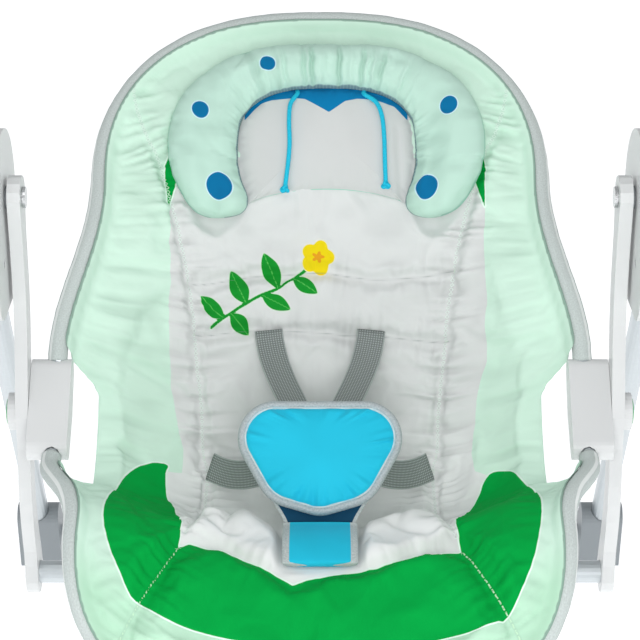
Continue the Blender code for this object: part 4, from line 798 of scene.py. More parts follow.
SUNK, DASHES, ZIGZAG, PLAIN = range(4)


def mirrored(line):
    return [(-x, s) for x, s in line]


def seam_lines():
    """Each seam: its points, its groove's half-width, its puckers' reach and height, and its sewing."""
    rows = (
        (SIDE_SEAM, 70, 0.007, 0.019, 0.0034, ZIGZAG),
        (mirrored(SIDE_SEAM), 70, 0.007, 0.019, 0.0034, ZIGZAG),
        (LOBE_SEAM, 20, 0.012, 0.022, 0.0018, DASHES),
        (mirrored(LOBE_SEAM), 20, 0.012, 0.022, 0.0018, DASHES),
        (QUILT_ONE, 30, 0.0065, 0.013, 0.0012, SUNK),
        (QUILT_TWO, 30, 0.0065, 0.015, 0.0015, SUNK),
        (BAND_TOP, 40, 0.008, 0.014, 0.0011, PLAIN),
        (((-0.105, 0.415), (0.105, 0.415)), 2, 0.012, 0.010, 0.0006, SUNK),
        (((-0.106, 0.540), (0.106, 0.540)), 2, 0.014, 0.010, 0.0004, PLAIN),
    )
    return [(curve_through(line, count), *rest) for line, count, *rest in rows]


CREASES = (
    # places along a fold of the sides or the lap, its half-width and depth
    (((-0.192, 0.358), (-0.186, 0.352), (-0.140, 0.356), (-0.124, 0.362), (-0.108, 0.378)), 0.008, 0.0045),
    (((-0.205, 0.444), (-0.192, 0.444), (-0.154, 0.442)), 0.008, 0.004),
    (((0.205, 0.345), (0.192, 0.342), (0.154, 0.330)), 0.007, 0.004),
    (((0.154, 0.348), (0.192, 0.352)), 0.007, 0.0035),
    (((0.205, 0.462), (0.192, 0.460), (0.146, 0.458)), 0.008, 0.004),
    (((-0.100, 0.346), (-0.064, 0.328)), 0.006, 0.002),
    (((0.088, 0.342), (0.110, 0.356), (0.148, 0.352)), 0.006, 0.002),
    (((-0.200, 0.262), (-0.160, 0.258), (-0.140, 0.250)), 0.007, 0.0025),
    (((0.200, 0.235), (0.165, 0.228)), 0.006, 0.0025),
    (((0.200, 0.285), (0.170, 0.278)), 0.006, 0.002),
    (((-0.112, 0.566), (-0.086, 0.584), (-0.062, 0.602)), 0.005, 0.0050),
    (((-0.046, 0.540), (-0.074, 0.566), (-0.078, 0.600)), 0.0045, 0.0045),
    (((0.048, 0.566), (0.076, 0.592), (0.108, 0.598)), 0.005, 0.0035),
    (((0.062, 0.535), (0.070, 0.560), (0.060, 0.590)), 0.0045, 0.0030),
)
SIDE_GROOVE, GROOVE_DEPTH, PRESSED_DEPTH, TUBE_COVER = 0.55, 0.0036, 0.005, 0.0100
COVER_EDGE, COVER_RISE, COVER_SWELL = 0.003, 0.0065, 0.006
SIDE_START, SIDE_SLANT, CALM_START = 0.13, 0.32, 0.43
SIDE_WRINKLE, SOFT_WRINKLE = 0.0012, 0.0009
PUFFS = (
    # place of a puff beside the crotch strap, its half-widths and height
    (-0.090, 0.562, 0.022, 0.022, 0.016),
    (-0.060, 0.570, 0.014, 0.024, 0.013),
    (0.078, 0.566, 0.030, 0.022, 0.014),
    (-0.102, 0.590, 0.016, 0.014, 0.007),
    (0.104, 0.588, 0.018, 0.014, 0.006),
)


def seam_heights(places):
    """How deep each place lies in a groove, its puckers, and the nearest seam's distance, run and sewing."""
    groove, pucker, stitch, sewing = np.zeros((4, len(places)))
    nearest = np.full(len(places), 9.0)
    for seed, (line, half, reach, high, kind) in enumerate(seam_lines()):
        away, along = distance_to(places, line)
        deep = SIDE_GROOVE if kind == ZIGZAG else 1.0
        groove = np.maximum(groove, deep * np.exp(-((away / half) ** 2)))
        spread_out = reach * (1 + 0.55 * ripple(along, seed, 0.006))
        fade = np.exp(-((away / spread_out) ** 2)) * (0.25 + 0.75 * (1 - np.exp(-((away / 0.003) ** 2))))
        pucker += high * fade * (ripple(along, seed + 40, 0.0031) + 0.4 * ripple(along, seed + 60, 0.0075))
        closer = away < nearest
        nearest[closer] = away[closer]
        stitch[closer] = along[closer]
        sewing[closer] = kind
    return groove, pucker, nearest, stitch, sewing


def fold_depth(places):
    folds = np.zeros(len(places))
    for line, half, depth in CREASES:
        line = curve_through(line, 16)
        away, along = distance_to(places, line)
        total = run_of(line)[-1]
        taper = smooth(np.minimum(along, total - along) / (total * 0.35) + 0.15)
        folds += depth * taper * np.exp(-((away / half) ** 2))
    return folds


def side_wrinkles(x, s, rim_away):
    """Fine wrinkles across the seat's mint sides, and softer ones all over it."""
    side = smooth((np.abs(x) - SIDE_START) / 0.05)
    drift = s - SIDE_SLANT * np.maximum(np.abs(x) - SIDE_START, 0) + 0.004 * ripple_over(x, s, 5, 0.05, 0.05)
    lines = ripple_over(x, drift, 7, 0.045, 0.0048) + 1.1 * ripple_over(x, drift, 8, 0.075, 0.0110)
    calm = 1 - 0.8 * smooth((s - CALM_START) / 0.05)
    wrinkle = SIDE_WRINKLE * calm * side * lines * smooth((rim_away - 0.006) / 0.02)
    return wrinkle + SOFT_WRINKLE * ripple_over(x, s, 9, 0.022, 0.014) * smooth((rim_away - 0.01) / 0.02)


def cover_height(places, rim_line):
    """Height of the cover over the middle surface before it swells, and what the puckers add."""
    x, s = places.T
    rim_away, _ = distance_to(places, rim_line, True)
    groove, pucker, nearest, stitch, sewing = seam_heights(places)
    pucker += side_wrinkles(x, s, rim_away)
    rim = smooth((rim_away - 0.010) / 0.035)
    height = COVER_EDGE + COVER_RISE * rim
    puffs = np.zeros(len(places))
    for x_puff, s_puff, half_x, half_s, high in PUFFS:
        puffs += high * np.exp(-(((x - x_puff) / half_x) ** 2) - ((s - s_puff) / half_s) ** 2)
    below_strap = smooth((s - 0.555) / 0.02) * (1 - smooth((s - 0.632) / 0.015))
    pressed = smooth((0.040 - np.abs(x)) / 0.008) * below_strap
    swell = COVER_SWELL * rim * (1 - groove) - GROOVE_DEPTH * groove * rim + puffs
    height = height + swell * (1 - pressed) - fold_depth(places) * rim - PRESSED_DEPTH * pressed
    over_tube = np.sqrt(np.maximum(TUBE_COVER**2 - np.minimum(rim_away, TUBE_COVER) ** 2, 0))
    height = np.maximum(height, over_tube)
    pucker *= (1 - pressed) * smooth((rim_away - 0.003) / 0.008)
    return height, pucker, rim_away, nearest, stitch, sewing


def under_pillow(places):
    """Signed distance inside the pillow and its insert, above 0 under them."""
    line = pillow_path()
    best = np.full(len(places), -9.0)
    for x, s, breadth in line[::2]:
        best = np.maximum(best, breadth - np.hypot(places[:, 0] - x, places[:, 1] - s))
    return np.maximum(best, (1 - insert_share(places[:, 0], places[:, 1])) * 0.045)


def closed_pair(front, back, faces, rim_pairs):
    """A closed body from two sheets with the same faces and the strip that joins their rims."""
    count = len(front)
    points = np.concatenate([front, back])
    quads = [tuple(f) for f in faces.tolist()]
    quads += [tuple(i + count for i in reversed(f)) for f in faces.tolist()]
    quads += [(b, a, a + count, b + count) for a, b in rim_pairs]
    return points, quads


def leaf_ring(base, tip, breadth):
    base, tip = np.array(base), np.array(tip)
    ahead = tip - base
    side = np.array([-ahead[1], ahead[0]]) / np.hypot(*ahead) * breadth
    t = np.linspace(0, 1, 14)[:, None]
    bow = np.sin(math.pi * t) ** 0.8 * (1.15 - 0.3 * t)
    return np.concatenate([base + ahead * t + side * bow, (base + ahead * t - side * bow)[-2:0:-1]])


SPRIG_STEM = ((-0.098, 0.297), (-0.076, 0.282), (-0.054, 0.269), (-0.030, 0.257), (-0.006, 0.241))
SPRIG_LEAVES = (
    ((-0.086, 0.289), (-0.110, 0.270), 0.0075),
    ((-0.080, 0.285), (-0.064, 0.304), 0.0070),
    ((-0.066, 0.276), (-0.080, 0.247), 0.0080),
    ((-0.052, 0.268), (-0.026, 0.281), 0.0070),
    ((-0.038, 0.261), (-0.050, 0.231), 0.0080),
    ((-0.024, 0.253), (-0.002, 0.267), 0.0065),
)
SPRIG_FLOWER = (-0.002, 0.235)
STEM_HALF_WIDTH, FLOWER_RADIUS, FAR = 0.0013, 0.0155, 0.05


def flower_distance(places, centre, radius, petals=5):
    away = places - centre
    turn = np.arctan2(away[:, 1], away[:, 0])
    reach = radius * (0.74 + 0.26 * np.abs(np.cos(turn * petals / 2)))
    return reach - np.linalg.norm(away, axis=1)


def cover_zones(cover, places):
    """Stores, for each vertex, how deep it lies in each printed or sewn zone, and how far into the low front
    and the lap it lies, for painted shade and painted light.
    """
    set_field(cover, "panel", inside_distance(places, PANEL_EDGE))
    shapes = (
        curve_through(LOBE_LEFT, 48, True),
        curve_through(LOBE_RIGHT, 48, True),
        np.concatenate([BAND_TOP, BAND_LOW]),
        WEDGE_LEFT,
        WEDGE_RIGHT,
    )
    green = np.full(len(places), -FAR)
    for shape in shapes:
        green = np.maximum(green, inside_distance(places, shape))
    set_field(cover, "green", green)
    x, s = places.T
    near = (s > 0.215) & (s < 0.315) & (x < 0.02) & (x > -0.13)
    spot = places[near]
    leaf, vein, flower = np.full((3, len(places)), -FAR)
    vein[:] = FAR
    leaf[near] = STEM_HALF_WIDTH - distance_to(spot, curve_through(SPRIG_STEM, 24))[0]
    for base, tip, breadth in SPRIG_LEAVES:
        leaf[near] = np.maximum(leaf[near], inside_distance(spot, leaf_ring(base, tip, breadth)))
        vein[near] = np.minimum(vein[near], distance_to(spot, (base, tip))[0])
    flower[near] = flower_distance(spot, SPRIG_FLOWER, FLOWER_RADIUS)
    for name, values in (("leaf", leaf), ("vein", vein), ("flower", flower)):
        set_field(cover, name, values)
    # Painted shade: how far into the low front edge each place lies.
    set_field(cover, "low", smooth((s - 0.625) / 0.045))
    # Painted light: how far into the lap each place lies.
    set_field(cover, "lap", smooth((s - 0.36) / 0.08))


def sewn_lines(look, colour):
    """The cover's seams: zigzags, dashes or sunk lines, each where its number says, with painted shade along
    all but the plain ones and a painted shade line down each sunk one.
    """
    away, along, sewing = (look.field(name) for name in ("seam_away", "seam_along", "sewing"))
    zigzag, dashes = (look.band(sewing, kind, 0.4, 0.1) for kind in (ZIGZAG, DASHES))
    sunk = look.math("SUBTRACT", 1.0, look.above(sewing, 0.5, 0.1))
    # Painted shade along each seam, none along the plain ones.
    unshaded = look.math("SUBTRACT", 0.5, look.math("MULTIPLY", look.above(sewing, 2.5, 0.1), 0.5))
    shade = look.math("MULTIPLY", look.band(away, 0.0, 0.0011, 0.0018), unshaded)
    colour = look.mix(shade, colour, look.deeper(colour, 1.1, 0.72))
    # Painted shade: a dark line in the crease down the middle of each sunk seam.
    line = look.math("MULTIPLY", look.band(away, 0.0, 0.0004, 0.0006), look.math("MULTIPLY", sunk, 0.42))
    colour = look.mix(line, colour, SUNK_SEAM_SHADE)
    swing = look.math("SUBTRACT", away, look.math("MULTIPLY", look.math("PINGPONG", along, 0.0020), 0.8))
    crossed = look.math("MULTIPLY", look.band(swing, 0.0, 0.0003, 0.0005), look.math("MULTIPLY", zigzag, 0.8))
    colour = look.mix(crossed, colour, PALE_THREAD)
    dash = look.above(look.math("PINGPONG", along, 0.0026), 0.0007, 0.0004)
    dash = look.math("MULTIPLY", dash, look.band(away, 0.0, 0.0006, 0.0004))
    return look.mix(look.math("MULTIPLY", dash, look.math("MULTIPLY", dashes, 0.85)), colour, GREEN_THREAD)


def cover_look():
    look = Look("quilted_cover", 0.85, 0.08)
    place = look.field("place", True)
    # Painted shade: the mint is drawn deeper towards the low front edge, where the cover curves away from the
    # light.
    mint = look.mix(look.field("low"), look.cloudy(place, 9.0, MINT, 0.96, 1.03), LOW_MINT_SHADE)
    # Painted light: the panel is drawn paler over the lap.
    panel = look.mix(look.field("lap"), PANEL, tone(PANEL, 1.13))
    colour = look.in_valleys(look.mix(look.above(look.field("panel"), 0.0), mint, panel))
    veined = look.mix(look.band(look.field("vein"), 0.0, 0.0005, 0.0004), LEAF, LEAF_VEIN)
    for zone, start, ink in (
        # each zone, how deep inside it the colour starts, and the colour
        ("leaf", -0.0006, LEAF_RIM),
        ("leaf", 0.0, veined),
        ("flower", -0.0006, FLOWER_RIM),
        ("flower", 0.0, YELLOW),
        ("flower", 0.0095, FLOWER_MIDDLE),
        ("green", -0.0013, GREEN_RIM),
        ("green", 0.0, look.cloudy(place, 9.0, GREEN, 0.85, 1.12)),
    ):
        colour = look.mix(look.above(look.field(zone), start), colour, ink)
    backing = look.cloudy(place, 9.0, BACKING, 0.93, 1.07)
    colour = look.mix(look.above(look.field("front"), 0.4), backing, colour)
    colour = sewn_lines(look, colour)
    # Painted shade: a dark line along the cover's rim, where it meets the binding.
    hem = look.math("MULTIPLY", look.band(look.field("rim"), 0.0, 0.0018, 0.0010), 0.9)
    return finish_fabric(look, look.mix(hem, colour, HEM_PAINTED_SHADE), place)


def make_seat_cover():
    places, faces, rim_pairs, own_edge = cover_grid()
    rim_line = outline_points()
    x, s = places.T
    height, _, rim_away, nearest, _, _ = cover_height(places, rim_line)
    own_away = np.maximum(inside_distance(places, own_edge), 0)
    shadow = under_pillow(places)
    on_tube = rim_away < 0.012
    free_edge = np.where(on_tube, 1.0, smooth(own_away / 0.010))
    front_height = -0.001 + (height + 0.001) * free_edge
    covered = smooth(shadow / 0.010)
    front_height = front_height * (1 - covered) + (pad_front(x, s) - 0.0005) * covered
    back_height = -0.0035 + 0.0125 * (1 - smooth((rim_away - 0.0060) / 0.0055)) * on_tube
    back_height = np.minimum(back_height, front_height - 0.0008)
    point, normal = seat_point(x, s), seat_normal(x, s)
    front = point + normal * front_height[:, None]
    back = point + normal * back_height[:, None]
    points, quads = closed_pair(front, back, faces, rim_pairs)
    cover = add_mesh("cover", points, quads)
    set_place(cover, np.tile(x, 2), np.tile(s, 2))
    set_field(cover, "front", np.repeat([1.0, 0.0], len(front)))
    under_strap = (np.abs(x) < 0.037) & (s > 0.56) & (s < 0.64)
    sewn = (nearest < CLOTH_CELL * 0.7) | on_tube | (own_away < 0.006) | (shadow > 0.004) | under_strap
    sewn = np.concatenate([sewn, np.ones(len(back), bool)])
    puff(cover, sewn, pressure=1.2, growth=0.035, cap=0.006, steps=18, stiffness=0.15)
    subdivide(cover)
    places = get_field(cover, "place")[:, :2]
    _, pucker, rim_away, nearest, along, sewing = cover_height(places, rim_line)
    pucker *= smooth(get_field(cover, "front") * 2 - 1) * (1 - smooth(under_pillow(places) / 0.006))
    set_points(cover, vertex_points(cover) + seat_normal(*places.T) * pucker[:, None])
    fields = {"seam_away": nearest, "seam_along": along, "sewing": sewing, "rim": rim_away}
    for name, values in fields.items():
        set_field(cover, name, values)
    set_valleys(cover, pucker)
    cover_zones(cover, places)
    dress(cover, cover_look())
    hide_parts("seat_cover")


def binding_look():
    look = Look("edge_binding", 0.85, 0.15, sheen_weight=0.05)
    place = look.field("place", True)
    colour = look.cloudy(place, 700.0, BINDING, 0.72, 1.2)
    colour = look.mix(look.band(look.field("turn"), 0.12, 0.20, 0.08), colour, (0.84, 0.88, 0.86))
    return finish_fabric(look, colour, place, 0.0008, 0.0002)


SLEEVE_RADIUS, SLEEVE_SIDES, SLEEVE_STEP = 0.0085, 20, 0.0035


def make_edge_sleeves(material):
    """Fabric sleeves sewn round the frame tubes, from bracket to bracket at each end of the seat."""
    ring = outline_points(90)
    ends = {
        "back": ring[ring[:, 1] < RECLINE_STATION - BRACKET_REACH],
        "front": ring[ring[:, 1] > RECLINE_STATION + BRACKET_REACH],
    }
    turn = np.linspace(0, 2 * math.pi, SLEEVE_SIDES, endpoint=False)
    for end, part in ends.items():
        part = part[np.argsort(np.arctan2(part[:, 1] - RECLINE_STATION, part[:, 0]))]
        run = run_of(part)
        even = np.linspace(0, run[-1], int(run[-1] / SLEEVE_STEP))
        x, s = at_run(part, run, even).T
        path, normal = seat_point(x, s), seat_normal(x, s)
        outward = np.cross(unit(np.gradient(path, axis=0)), normal)
        inner = seat_point(x * 0.9, RECLINE_STATION + (s - RECLINE_STATION) * 0.9)
        outward *= np.sign((outward * (path - inner)).sum(1))[:, None]
        radius = SLEEVE_RADIUS + 0.0002 * ripple(even, 3, 0.007)[:, None]
        radius = radius + 0.00015 * ripple_over(even[:, None], turn[None, :], 9, 0.009, 0.9)
        points = path[:, None] + outward[:, None] * (np.cos(turn) * radius)[..., None]
        points = points + normal[:, None] * (np.sin(turn) * radius)[..., None]
        sleeve = add_mesh(f"edge_sleeve_{end}", points.reshape(-1, 3), tube_faces(len(path), SLEEVE_SIDES))
        around = np.tile(np.where(turn > math.pi, turn - 2 * math.pi, turn), len(path))
        set_field(sleeve, "turn", around)
        set_place(sleeve, np.repeat(even, SLEEVE_SIDES), around * SLEEVE_RADIUS)
        dress(sleeve, material)


# Head pillow and its insert

DOTS = (
    # place, radius along the arm and radius across it
    (-0.0460, 0.0645, 0.0064, 0.0068), (-0.1085, 0.1065, 0.0077, 0.0080), (-0.0918, 0.1740, 0.0120, 0.0142),
    (0.1173, 0.1035, 0.0082, 0.0082), (0.0980, 0.1750, 0.0106, 0.0130),
)


def pillow_look():
    look = Look("pillow_cotton", 0.82, 0.15, sheen_weight=0.05)
    place = look.field("place", True)
    colour = look.cloudy(place, 12.0, PILLOW_MINT, 0.95, 1.05)
    for x, s, radius, wide in DOTS:
        squeezed = look.scaled(place, (radius / wide, 1, 1))
        middle = (x * radius / wide, s, 0)
        away = look.node("ShaderNodeVectorMath", {0: squeezed, 1: middle}, 1, operation="DISTANCE")
        colour = look.mix(look.band(away, 0.0, radius + 0.0010), colour, DOT_RIM)
        colour = look.mix(look.band(away, 0.0, radius), colour, BLUE)
    dash = look.above(look.math("PINGPONG", look.field("along"), 0.0016), 0.0005)
    inner = look.band(look.field("inner"), 0.0, 0.0007, 0.0005)
    seam = look.math("MULTIPLY", inner, look.math("MULTIPLY_ADD", dash, 0.15, 0.60))
    colour = look.mix(seam, colour, INNER_SEAM)
    outer = look.math("MULTIPLY", look.band(look.field("outer"), 0.0, 0.0007, 0.0006), 0.6)
    return finish_fabric(look, look.in_valleys(look.mix(outer, colour, OUTER_SEAM)), place)


def pillow_puckers(x, s, along, inner, outer, up, length):
    """The pillow's puckers at its two seams, gathers over its head and softer folds in its arms."""
    from_head = np.abs(along - length / 2)
    inner_reach = 0.007 + 0.004 * ripple(along, 23, 0.005)
    outer_reach = 0.006 + 0.003 * ripple(along, 24, 0.006)
    pucker = 0.0015 * ripple(along, 21, 0.0036) * np.exp(-((inner / inner_reach) ** 2))
    pucker += 0.0013 * ripple(along, 22, 0.0038) * np.exp(-((outer / outer_reach) ** 2))
    drift = along + 0.0008 * ripple(outer, 26, 0.006)
    gather = ripple(drift, 25, 0.0035) + 0.7 * ripple(along, 27, 0.0085)
    pucker += 0.0040 * smooth(1.3 - from_head / 0.085) * gather * smooth(outer / 0.026 + 0.20)
    pucker += 0.0007 * ripple_over(x, s, 28, 0.018, 0.010)
    pucker += 0.0009 * smooth((from_head - 0.10) / 0.05) * ripple_over(x, s, 29, 0.030, 0.012)
    return pucker * smooth(up * 2.2)


def make_head_pillow():
    steps, top, bottom, fullness = ((210, 27, 10, 0.92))
    line = pillow_path(steps)
    ahead = pillow_ahead(line)
    turn = np.linspace(0, math.pi, top)
    across = np.concatenate([np.cos(turn), np.linspace(-0.9, 0.9, bottom)])
    up = np.concatenate([np.sin(turn) ** 0.75, np.zeros(bottom)])
    up[0] = up[top - 1] = 0.12
    sides = top + bottom
    breadth = line[:, 2]
    height = PILLOW_HEIGHT * np.sqrt(breadth / PILLOW_HALF_BREADTH)
    px = line[:, 0, None] + ahead[:, 1, None] * across * breadth[:, None]
    ps = line[:, 1, None] - ahead[:, 0, None] * across * breadth[:, None]
    lift = SOFT_CLEARANCE + up[None, :] * height[:, None] * fullness
    points = over_seat(px.ravel(), ps.ravel(), lift.ravel())
    pillow = add_mesh("pillow", points, tube_faces(steps, sides))
    run = run_of(line[:, :2])
    set_place(pillow, px, ps)
    fields = {"across": np.tile(across, steps), "along": np.repeat(run, sides), "up": np.tile(up, steps)}
    fields["breadth"] = np.repeat(breadth, sides)
    for name, values in fields.items():
        set_field(pillow, name, values)
    sewn = np.tile(up < 0.2, steps)
    puff(pillow, sewn, pressure=2.0, growth=0.035, cap=0.0028, steps=16, stiffness=0.1)
    subdivide(pillow)
    x, s = get_field(pillow, "place")[:, :2].T
    across, along, up, breadth = (get_field(pillow, name) for name in fields)
    inner, outer = (1 - across) * breadth, (1 + across) * breadth
    pucker = pillow_puckers(x, s, along, inner, outer, up, run[-1])
    set_points(pillow, vertex_points(pillow) + seat_normal(x, s) * pucker[:, None])
    underside = np.where(up < 0.02, 0.02, 0)
    set_valleys(pillow, pucker)
    set_field(pillow, "inner", inner + underside)
    set_field(pillow, "outer", outer + underside)
    dress(pillow, pillow_look())
    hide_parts("head_pillow")


SCALLOP = (
    (-0.0680, 0.1110), (-0.0590, 0.1010), (-0.0530, 0.0955), (-0.0436, 0.0926), (-0.0318, 0.0917),
    (-0.0227, 0.0912), (-0.0136, 0.0921), (-0.0060, 0.0965), (0.0015, 0.1010), (0.0080, 0.1048),
    (0.0140, 0.1005), (0.0227, 0.0940), (0.0336, 0.0917), (0.0455, 0.0921), (0.0545, 0.0939),
    (0.0670, 0.0985), (0.0790, 0.1110), (0.0790, 0.0700), (-0.0680, 0.0700),
)
INSERT_FOLDS = (
    # a fold's x, first and last s, lean, half-width and depth
    (0.0690, 0.110, 0.190, 0.05, 0.0035, 0.0018),
    (-0.0300, 0.158, 0.180, 0.10, 0.0030, 0.0020),
    (0.0080, 0.160, 0.180, -0.15, 0.0035, 0.0014),
    (0.0380, 0.150, 0.182, 0.10, 0.0040, 0.0012),
)
INSERT_CORE, INSERT_RIM_HEIGHT = (0.074, 0.046), 0.18


def insert_look():
    look = Look("insert_cotton", 0.85, 0.15, sheen_weight=0.05)
    place = look.field("place", True)
    colour = look.cloudy(place, 12.0, PANEL, 0.83, 0.92)
    # Painted light: the scallop's blue is drawn brighter than the same blue elsewhere, to make up for the
    # pillow's shade over it.
    colour = look.mix(look.above(look.field("scallop"), 0.0), colour, tone(BLUE, 1.2))
    edge = look.field("edge")
    low = look.above(look.node("ShaderNodeSeparateXYZ", {0: place}, 1), 0.165, 0.01)
    hem = look.math("MULTIPLY", look.band(edge, 0.0, 0.0010, 0.0005), low)
    colour = look.mix(hem, colour, INSERT_HEM)
    sides = look.math("MULTIPLY", look.band(edge, 0.0, 0.0006, 0.0005), look.math("SUBTRACT", 0.8, low))
    return finish_fabric(look, look.mix(sides, colour, INSERT_SIDE), place)


def insert_wrinkles(x, s, edge, run):
    wrinkle = 0.0010 * ripple(run, 33, 0.0042) * np.exp(-((edge / 0.007) ** 2))
    wrinkle += 0.0006 * ripple_over(x, s, 31, 0.012, 0.03) + 0.0008 * ripple_over(x, s, 32, 0.04, 0.03)
    for x_fold, s_top, s_end, lean, half, depth in INSERT_FOLDS:
        reach = smooth((s - s_top) / 0.02) * (1 - smooth((s - s_end) / 0.01))
        wrinkle -= depth * reach * np.exp(-(((x - x_fold - lean * (s - s_top)) / half) ** 2))
    return wrinkle * smooth(edge / 0.0035)


def make_pillow_insert():
    spokes, rings = ((170, 30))
    rim = insert_outline(spokes, INSERT_TUCK) - (PILLOW_X, INSERT_MIDDLE)
    shares = np.concatenate([[0.90], 1 - 0.98 * np.linspace(0, 1, rings) ** 1.25])
    turn = np.arctan2(rim[:, 1], rim[:, 0])
    rounded = np.stack([np.cos(turn), np.sin(turn)], -1) * INSERT_CORE
    sharp = smooth((shares - 0.35) / 0.6)[:, None, None]
    shape = rim * sharp + rounded * (1 - sharp)
    px = PILLOW_X + shares[:, None] * shape[..., 0]
    ps = INSERT_MIDDLE + shares[:, None] * shape[..., 1]
    height = 0.95 * INSERT_HEIGHT * np.maximum(1 - shares**INSERT_FULLNESS, 0.0) ** 0.6
    height = np.maximum(height, INSERT_RIM_HEIGHT * INSERT_HEIGHT)
    height[0] = 0
    points = over_seat(px.ravel(), ps.ravel(), INSERT_CLEARANCE + np.repeat(height, spokes))
    insert = add_mesh("insert", points, tube_faces(rings + 1, spokes))
    set_place(insert, px, ps)
    set_field(insert, "edge", ((1 - shares)[:, None] * np.linalg.norm(rim, axis=1)).ravel())
    length = np.linalg.norm(rim - np.roll(rim, 1, 0), axis=1).sum()
    set_field(insert, "run", np.tile(np.arange(spokes) / spokes * length, rings + 1))
    subdivide(insert)
    places = get_field(insert, "place")[:, :2]
    x, s = places.T
    wrinkle = insert_wrinkles(x, s, get_field(insert, "edge"), get_field(insert, "run"))
    set_points(insert, vertex_points(insert) + seat_normal(x, s) * wrinkle[:, None])
    set_field(insert, "scallop", inside_distance(places, SCALLOP))
    dress(insert, insert_look())
    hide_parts("pillow_insert")


# Belly pad, its neck and sleeve, and the harness

belly = seat_point(0, BELLY_STATION) + (0, -BELLY_AHEAD, BELLY_OVER)
belly_up = np.array([0, math.cos(math.radians(BELLY_TILT)), math.sin(math.radians(BELLY_TILT))])
belly_out = np.array([0, -belly_up[2], belly_up[1]])


def on_belly(x, up, out):
    x, up, out = np.broadcast_arrays(np.asarray(x, float), up, out)
    return belly + x[..., None] * (1, 0, 0) + up[..., None] * belly_up + out[..., None] * belly_out


FULLER_LOBES = ((-0.0200, -0.0060, 0.0350), (0.0200, -0.0060, 0.0350))
BELLY_DIP, BELLY_DIP_HALF_WIDTH = 0.0045, 0.014
BELLY_TAPE_WIDTH = 0.0068
BELLY_EDGE_RINGS = (
    # how far in from the pad's outline each ring of its tape lies, and how high
    (0.0030, -BELLY_EDGE), (0.0, -0.4 * BELLY_EDGE), (0.0, 0.5 * BELLY_EDGE), (0.0008, 0.0048),
    (0.0020, 0.0064), (0.0036, 0.0070), (0.0052, 0.0064), (0.0062, 0.0052), (BELLY_TAPE_WIDTH, 0.0042),
    (0.0076, 0.0056),
)
BELLY_RINGS = (0.0090, 0.0115, 0.0150, 0.0190, 0.0235, 0.0280, 0.0325, 0.0370, 0.0410, 0.0440)
BELLY_DOME = ((0.0, 0.0068, 0.012, 0.020, 0.030, 0.044), (0.0040, 0.0058, 0.0092, 0.0116, 0.0127, 0.0130))
BELLY_REACH = 0.0450


def belly_outline(count=144):
    turn = np.linspace(0, 2 * math.pi, 720, endpoint=False)
    ray = np.stack([np.cos(turn), np.sin(turn)], -1)
    circles = np.array(BELLY_LOBES + FULLER_LOBES)
    reach = ray @ circles[:, :2].T + circles[:, 2]
    lobes = circles[reach.argmax(1)]
    ring = lobes[:, :2] + ray * lobes[:, 2:]
    ring[:, 1] -= BELLY_DIP * np.exp(-((ring[:, 0] / BELLY_DIP_HALF_WIDTH) ** 2)) * (ring[:, 1] > 0)
    return spread(ring, count)


def tape_colour(look, place, shades):
    return look.mix(look.above(look.noise(place, 620.0), 0.5, 0.5), *shades)


def belly_look():
    look = Look("belly_cotton", 0.7, 0.2, sheen_weight=0.05)
    place = look.field("place", True)
    edge = look.field("edge")
    taped = look.math("SUBTRACT", 1.0, look.above(edge, BELLY_TAPE_WIDTH))
    colour = look.mix(taped, look.cloudy(place, 20.0, CYAN, 0.92, 1.08), tape_colour(look, place, BELLY_TAPE))
    return finish_fabric(look, look.mix(look.band(edge, 0.0066, 0.0006), colour, TAPE_RIM), place)


def make_belly_pad():
    ring = belly_outline()
    count = len(ring)
    dome = tuple(zip(BELLY_RINGS, np.interp(BELLY_RINGS, *BELLY_DOME)))
    inset, out = np.array(BELLY_EDGE_RINGS + dome).T
    out = np.where(inset > 0.0095, 0.94 * out, out)
    centre = ring.mean(0)
    ahead = np.roll(ring, -1, 0) - np.roll(ring, 1, 0)
    inward = unit(np.stack([-ahead[:, 1], ahead[:, 0]], -1))
    rings = []
    for depth in inset:
        by_normal = ring + inward * depth
        by_share = centre + (ring - centre) * max(1 - depth / BELLY_REACH, 0.01)
        share = smooth((depth - 0.006) / 0.014)
        rings.append(by_normal * (1 - share) + by_share * share)
    flat = np.concatenate(rings)
    pad = add_mesh("belly", on_belly(*flat.T, np.repeat(out, count)), tube_faces(len(inset), count))
    set_place(pad, *flat.T)
    set_field(pad, "edge", np.repeat(inset, count))
    set_field(pad, "along", np.tile(np.arange(count) / count * 0.29, len(inset)))
    subdivide(pad)
    edge, along = get_field(pad, "edge"), get_field(pad, "along")
    x, up, _ = get_field(pad, "place").T
    fade = np.exp(-(((edge - 0.009) / 0.007) ** 2)) * (edge > BELLY_TAPE_WIDTH)
    wrinkle = 0.0026 * fade * ripple(along, 51, 0.0050) + 0.0004 * ripple_over(x, up, 52, 0.03, 0.02)
    wrinkle = np.where(edge > 0.004, wrinkle, 0)
    set_points(pad, vertex_points(pad) + wrinkle[:, None] * belly_out)
    dress(pad, belly_look())
    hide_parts("belly_pad")


def bezier(a, b, c, d, count):
    t = np.linspace(0, 1, count)[:, None]
    u = 1 - t
    return a * u**3 + 3 * b * u * u * t + 3 * c * u * t * t + d * t**3


